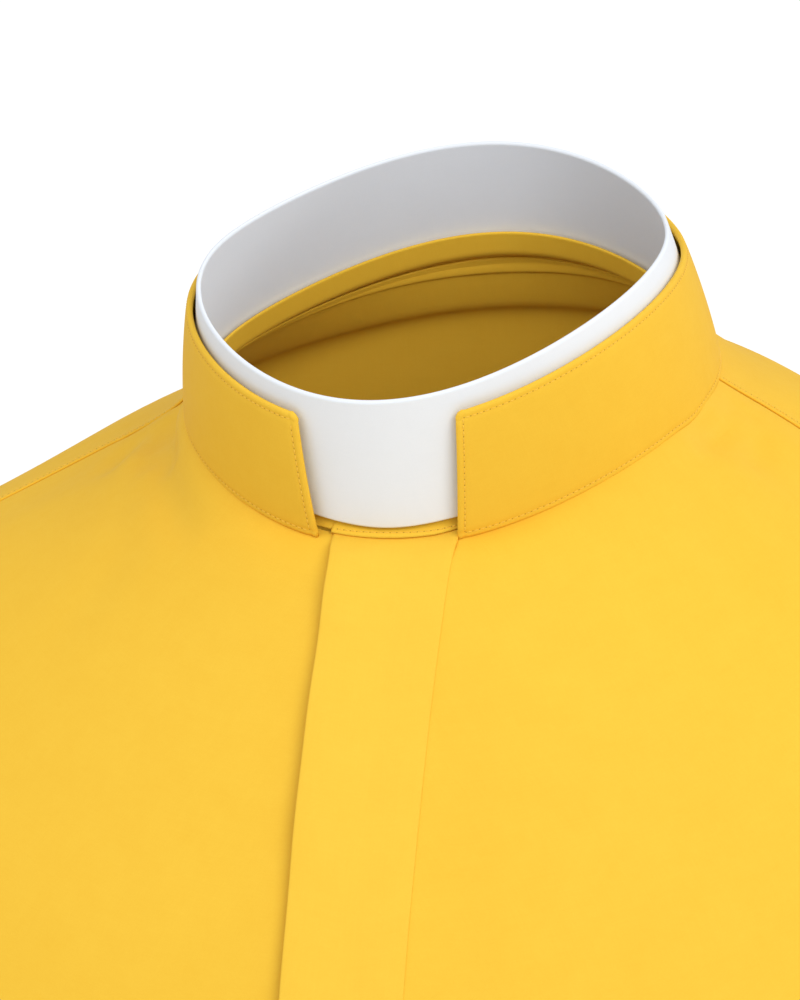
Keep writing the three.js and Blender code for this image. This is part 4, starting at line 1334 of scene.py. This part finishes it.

# %% [markdown]
# ## Materials
# Fine poplin reflects light softly: a matt colour, a little sheen from its fibres and almost no gloss. The
# weave is too fine to see at this distance, so it is a very weak height pattern. Slow and cloudy changes of
# colour and a fine grain keep large smooth areas from looking like paint. The same group makes every cloth,
# each with its own colour. The placket is painted a little paler than the same yellow elsewhere: painted
# light for how brightly it shows.

# %% Cloth as a node group
WEAVE_PITCH, WEFT_SHARE, WEAVE_HEIGHT = 0.00030, 0.8, 0.10
SOCKETS = (
    ("INPUT", "NodeSocketVector", ("Map", "Place")),
    ("INPUT", "NodeSocketColor", ("Colour", "Deep Colour")),
    ("OUTPUT", "NodeSocketColor", ("Colour",)),
    ("OUTPUT", "NodeSocketFloat", ("Roughness", "Height")),
)
NOISES = {"slow": (9.0, 3.0), "cloudy": (110.0, 3.0), "fine": (420.0, 2.0), "grain": (2600.0, 1.0)}
SLUB_STRETCHES = ((70.0, 1900.0, 1.0), (2300.0, 60.0, 1.0))
TONE = {
    "slow": (0.5, 0.42),
    "fine": (0.5, 0.25),
    "slubs": (1.0, 0.30),
    "cloudy": (0.5, 0.45),
    "grain": (0.5, 0.60),
    "weave": (0.0, 0.035),
}
DEEP_SHARE = 0.30
ROUGHNESS, ROUGHNESS_CHANGE = 0.56, 0.10
BUMP_DISTANCE, SHEEN_ROUGHNESS, GLOSS = 0.00010, 0.45, 0.10


def cloth_group():
    """Group that turns the cut map and a colour into cloth colour, roughness and height."""
    group = bpy.data.node_groups.new("cloth", "ShaderNodeTree")
    for way, kind, names in SOCKETS:
        for name in names:
            group.interface.new_socket(name, in_out=way, socket_type=kind)
    nodes, links = group.nodes, group.links
    given, made = nodes.new("NodeGroupInput"), nodes.new("NodeGroupOutput")

    def math_node(operation, first, second=None):
        node = nodes.new("ShaderNodeMath")
        node.operation = operation
        for socket, value in zip(node.inputs, (first, second)):
            if isinstance(value, (int, float)):
                socket.default_value = value
            elif value is not None:
                links.new(value, socket)
        return node.outputs[0]

    def noise(vector, scale, detail, stretch=None):
        if stretch:
            mapping = nodes.new("ShaderNodeMapping")
            mapping.inputs["Scale"].default_value = stretch
            links.new(vector, mapping.inputs["Vector"])
            vector = mapping.outputs["Vector"]
        node = nodes.new("ShaderNodeTexNoise")
        node.inputs["Scale"].default_value = scale
        node.inputs["Detail"].default_value = detail
        links.new(vector, node.inputs["Vector"])
        return node.outputs["Fac"]

    cut = nodes.new("ShaderNodeSeparateXYZ")
    links.new(given.outputs["Map"], cut.inputs[0])
    turn = 2 * math.pi / WEAVE_PITCH
    warp = math_node("SINE", math_node("MULTIPLY", cut.outputs[0], turn))
    weft = math_node("SINE", math_node("MULTIPLY", cut.outputs[1], turn * WEFT_SHARE))
    patterns = {name: noise(given.outputs["Place"], *values) for name, values in NOISES.items()}
    slubs = [noise(given.outputs["Map"], 1.0, 2.0, stretch) for stretch in SLUB_STRETCHES]
    patterns["slubs"] = math_node("ADD", *slubs)
    patterns["weave"] = math_node("MULTIPLY", warp, weft)
    tone = DEEP_SHARE
    for name, (middle, weight) in TONE.items():
        change = math_node("MULTIPLY", math_node("SUBTRACT", patterns[name], middle), weight)
        tone = math_node("ADD", tone, change)
    mix = nodes.new("ShaderNodeMix")
    mix.data_type = "RGBA"
    links.new(tone, mix.inputs["Factor"])
    colours = [socket for socket in mix.inputs if socket.type == "RGBA"]
    links.new(given.outputs["Colour"], colours[0])
    links.new(given.outputs["Deep Colour"], colours[1])
    shown = next(socket for socket in mix.outputs if socket.type == "RGBA")
    links.new(shown, made.inputs["Colour"])
    rough = math_node("ADD", math_node("MULTIPLY", patterns["fine"], ROUGHNESS_CHANGE), ROUGHNESS)
    links.new(rough, made.inputs["Roughness"])
    height = math_node("MULTIPLY", patterns["weave"], WEAVE_HEIGHT)
    for name, weight in (("slubs", 0.35), ("fine", 0.45)):
        height = math_node("ADD", height, math_node("MULTIPLY", patterns[name], weight))
    links.new(height, made.inputs["Height"])
    return group


CLOTH = cloth_group()


def new_material(name):
    material = bpy.data.materials.new(name)
    material.use_nodes = True
    return material, next(node for node in material.node_tree.nodes if node.type == "BSDF_PRINCIPLED")


def cloth_material(name, colour, deep, sheen, bump):
    material, shader = new_material(name)
    nodes, links = material.node_tree.nodes, material.node_tree.links
    cloth, cut = nodes.new("ShaderNodeGroup"), nodes.new("ShaderNodeUVMap")
    cloth.node_tree, cut.uv_map = CLOTH, "cut"
    place, raised = nodes.new("ShaderNodeTexCoord"), nodes.new("ShaderNodeBump")
    links.new(cut.outputs["UV"], cloth.inputs["Map"])
    links.new(place.outputs["Object"], cloth.inputs["Place"])
    cloth.inputs["Colour"].default_value = (*colour, 1)
    cloth.inputs["Deep Colour"].default_value = (*deep, 1)
    links.new(cloth.outputs["Colour"], shader.inputs["Base Color"])
    links.new(cloth.outputs["Roughness"], shader.inputs["Roughness"])
    raised.inputs["Strength"].default_value = bump
    raised.inputs["Distance"].default_value = BUMP_DISTANCE
    links.new(cloth.outputs["Height"], raised.inputs["Height"])
    links.new(raised.outputs["Normal"], shader.inputs["Normal"])
    shader.inputs["Sheen Weight"].default_value = sheen
    shader.inputs["Sheen Roughness"].default_value = SHEEN_ROUGHNESS
    shader.inputs["Sheen Tint"].default_value = (*[min(1, 0.5 + c / 2) for c in colour], 1)
    shader.inputs["Specular IOR Level"].default_value = GLOSS
    return material


def plain_material(name, colour, roughness, coat=0.0):
    material, shader = new_material(name)
    shader.inputs["Base Color"].default_value = (*colour, 1)
    shader.inputs["Roughness"].default_value = roughness
    shader.inputs["Coat Weight"].default_value = coat
    return material


YELLOW, YELLOW_DEEP = (0.92, 0.57, 0.050), (0.87, 0.50, 0.035)
# The placket's pair is the same yellow painted paler: painted light for the brighter light on the placket.
PAINTED_LIGHT_YELLOW, PAINTED_LIGHT_YELLOW_DEEP = (0.93, 0.585, 0.056), (0.885, 0.52, 0.042)
yellow_poplin = cloth_material("yellow_poplin", YELLOW, YELLOW_DEEP, 0.02, 0.35)
collar_poplin = cloth_material("collar_poplin", YELLOW, YELLOW_DEEP, 0.0, 0.28)
placket_poplin_painted_light = cloth_material("placket_poplin_painted_light", PAINTED_LIGHT_YELLOW, PAINTED_LIGHT_YELLOW_DEEP, 0.02, 0.35)
white_linen = cloth_material("white_band", (0.88, 0.925, 0.99), (0.84, 0.885, 0.95), 0.0, 0.12)
yellow_thread = plain_material("yellow_thread", (0.93, 0.58, 0.06), 0.6)
# Dark amber for the needle holes: painted shade, not a colour of the cloth or thread.
painted_hole_shade = plain_material("painted_hole_shade", (0.52, 0.26, 0.02), 0.9)
button_shell = plain_material("button_shell", (0.80, 0.55, 0.14), 0.28, 0.35)
print("materials:", len(bpy.data.materials))

# %% [markdown]
# ## Put the pieces on the frame
# Every cloth piece stands for the solid of the same sewn piece, so collisions still use the solids. The
# table lists each piece's slot, its material, how it is held and what it rests on; of these, the next cell
# uses only the material.


NODES = {"placket": "fly_placket", "collar": "collar_outer", "insert": "collar_insert"}
PIECES = {
    "front_left": ("yellow_cloth", yellow_poplin, "draped", "yoke"),
    "front_right": ("yellow_cloth", yellow_poplin, "draped", "yoke"),
    "placket": ("yellow_cloth", placket_poplin_painted_light, "folded", "front_left"),
    "yoke": ("yellow_cloth", yellow_poplin, "draped", "neckband"),
    "back": ("yellow_cloth", yellow_poplin, "draped", "yoke"),
    "sleeve_left": ("yellow_cloth", yellow_poplin, "hung", "front_left back"),
    "sleeve_right": ("yellow_cloth", yellow_poplin, "hung", "front_right back"),
    "cuff_left": ("yellow_cloth", collar_poplin, "folded", "sleeve_left"),
    "cuff_right": ("yellow_cloth", collar_poplin, "folded", "sleeve_right"),
    "collar": ("collar_cloth", collar_poplin, "folded", "yoke"),
    "insert": ("white_insert", white_linen, "stretched", "neckband"),
    "neckband": ("yellow_cloth", yellow_poplin, "folded", "yoke"),
}
for name, (_, _, held, supports) in PIECES.items():
    piece, face, _ = MADE[name]

# %% [markdown]
# ## Each piece on its body
# The pieces ride on the shirt's one body, and each takes the place of its solid.

# %% Ride, replace and add materials
for name, (slot, material, _, _) in PIECES.items():
    piece = MADE[name][0]
    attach(piece, "root")
    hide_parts(NODES.get(name, name))
    piece.data.materials.append(material)
    extras = ((threads[name], yellow_thread), (hole_shade_objects[name], painted_hole_shade)) if name in SEAMS else ()
    for extra, finish in extras:
        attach(extra, "root")
        extra.data.materials.append(finish)
BUTTONS = ((button_left, thread_left, "cuff_button_left"), (button_right, thread_right, "cuff_button_right"))
for disc, thread, node in BUTTONS:
    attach(disc, "root")
    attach(thread, "root")
    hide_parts(node)
    disc.data.materials.clear()
    disc.data.materials.append(button_shell)
    thread.data.materials.append(yellow_thread)

# %% [markdown]
# ## Floor and light
# The picture has a white background and soft light from the front, a little from the wearer's left. A large
# soft box gives the shading of the collar's two sides, a weaker one opposite keeps the shadows open, and
# the pale floor below the hem sends some light back up. A third light behind the wearer's left shoulder
# shows the folds of the back, which the picture doesn't show.

# %% Stage
FLOOR_HEIGHT, FLOOR_REACH = -0.80, 3
SEEN, AROUND = 1.05, 0.58
LIGHTS_AIM = Vector((0, 0, -0.1))
LIGHTS = (
    ("key", 38, 28, 1.9, 1.2, 15.5),
    ("fill", -40, 40, 2.2, 1.6, 11),
    ("behind", 128, 32, 2.3, 0.9, 11.5),
)


def area_light(name, turn, rise, distance, size, power):
    way = direction(math.radians(turn), math.radians(rise))
    lamp = bpy.data.lights.new(name, "AREA")
    lamp.shape, lamp.size, lamp.energy = "DISK", size, power
    light = link(name, lamp)
    light.location = way * distance + LIGHTS_AIM
    light.rotation_mode = "QUATERNION"
    light.rotation_quaternion = way.to_track_quat("Z", "Y")


def white_world():
    """White behind the shirt, and a weaker white that lights it."""
    world = bpy.data.worlds.new("white")
    world.use_nodes = True
    bpy.context.scene.world = world
    nodes, links = world.node_tree.nodes, world.node_tree.links
    nodes.clear()
    path, out = nodes.new("ShaderNodeLightPath"), nodes.new("ShaderNodeOutputWorld")
    mix = nodes.new("ShaderNodeMixShader")
    links.new(path.outputs["Is Camera Ray"], mix.inputs[0])
    for socket, strength in zip(mix.inputs[1:], (AROUND, SEEN)):
        light = nodes.new("ShaderNodeBackground")
        light.inputs["Color"].default_value = (1, 1, 1, 1)
        light.inputs["Strength"].default_value = strength
        links.new(light.outputs[0], socket)
    links.new(mix.outputs[0], out.inputs["Surface"])


white_world()
bpy.context.scene.view_settings.view_transform = "Standard"
for values in LIGHTS:
    area_light(*values)
corners = [(-1, -1), (1, -1), (1, 1), (-1, 1)]
corners = [(x * FLOOR_REACH, y * FLOOR_REACH, FLOOR_HEIGHT) for x, y in corners]
floor = mesh_object("floor", corners, [(0, 1, 2, 3)])
floor.data.materials.append(plain_material("pale_floor", (0.80, 0.80, 0.79), 0.8))
print("lights:", ", ".join(values[0] for values in LIGHTS))
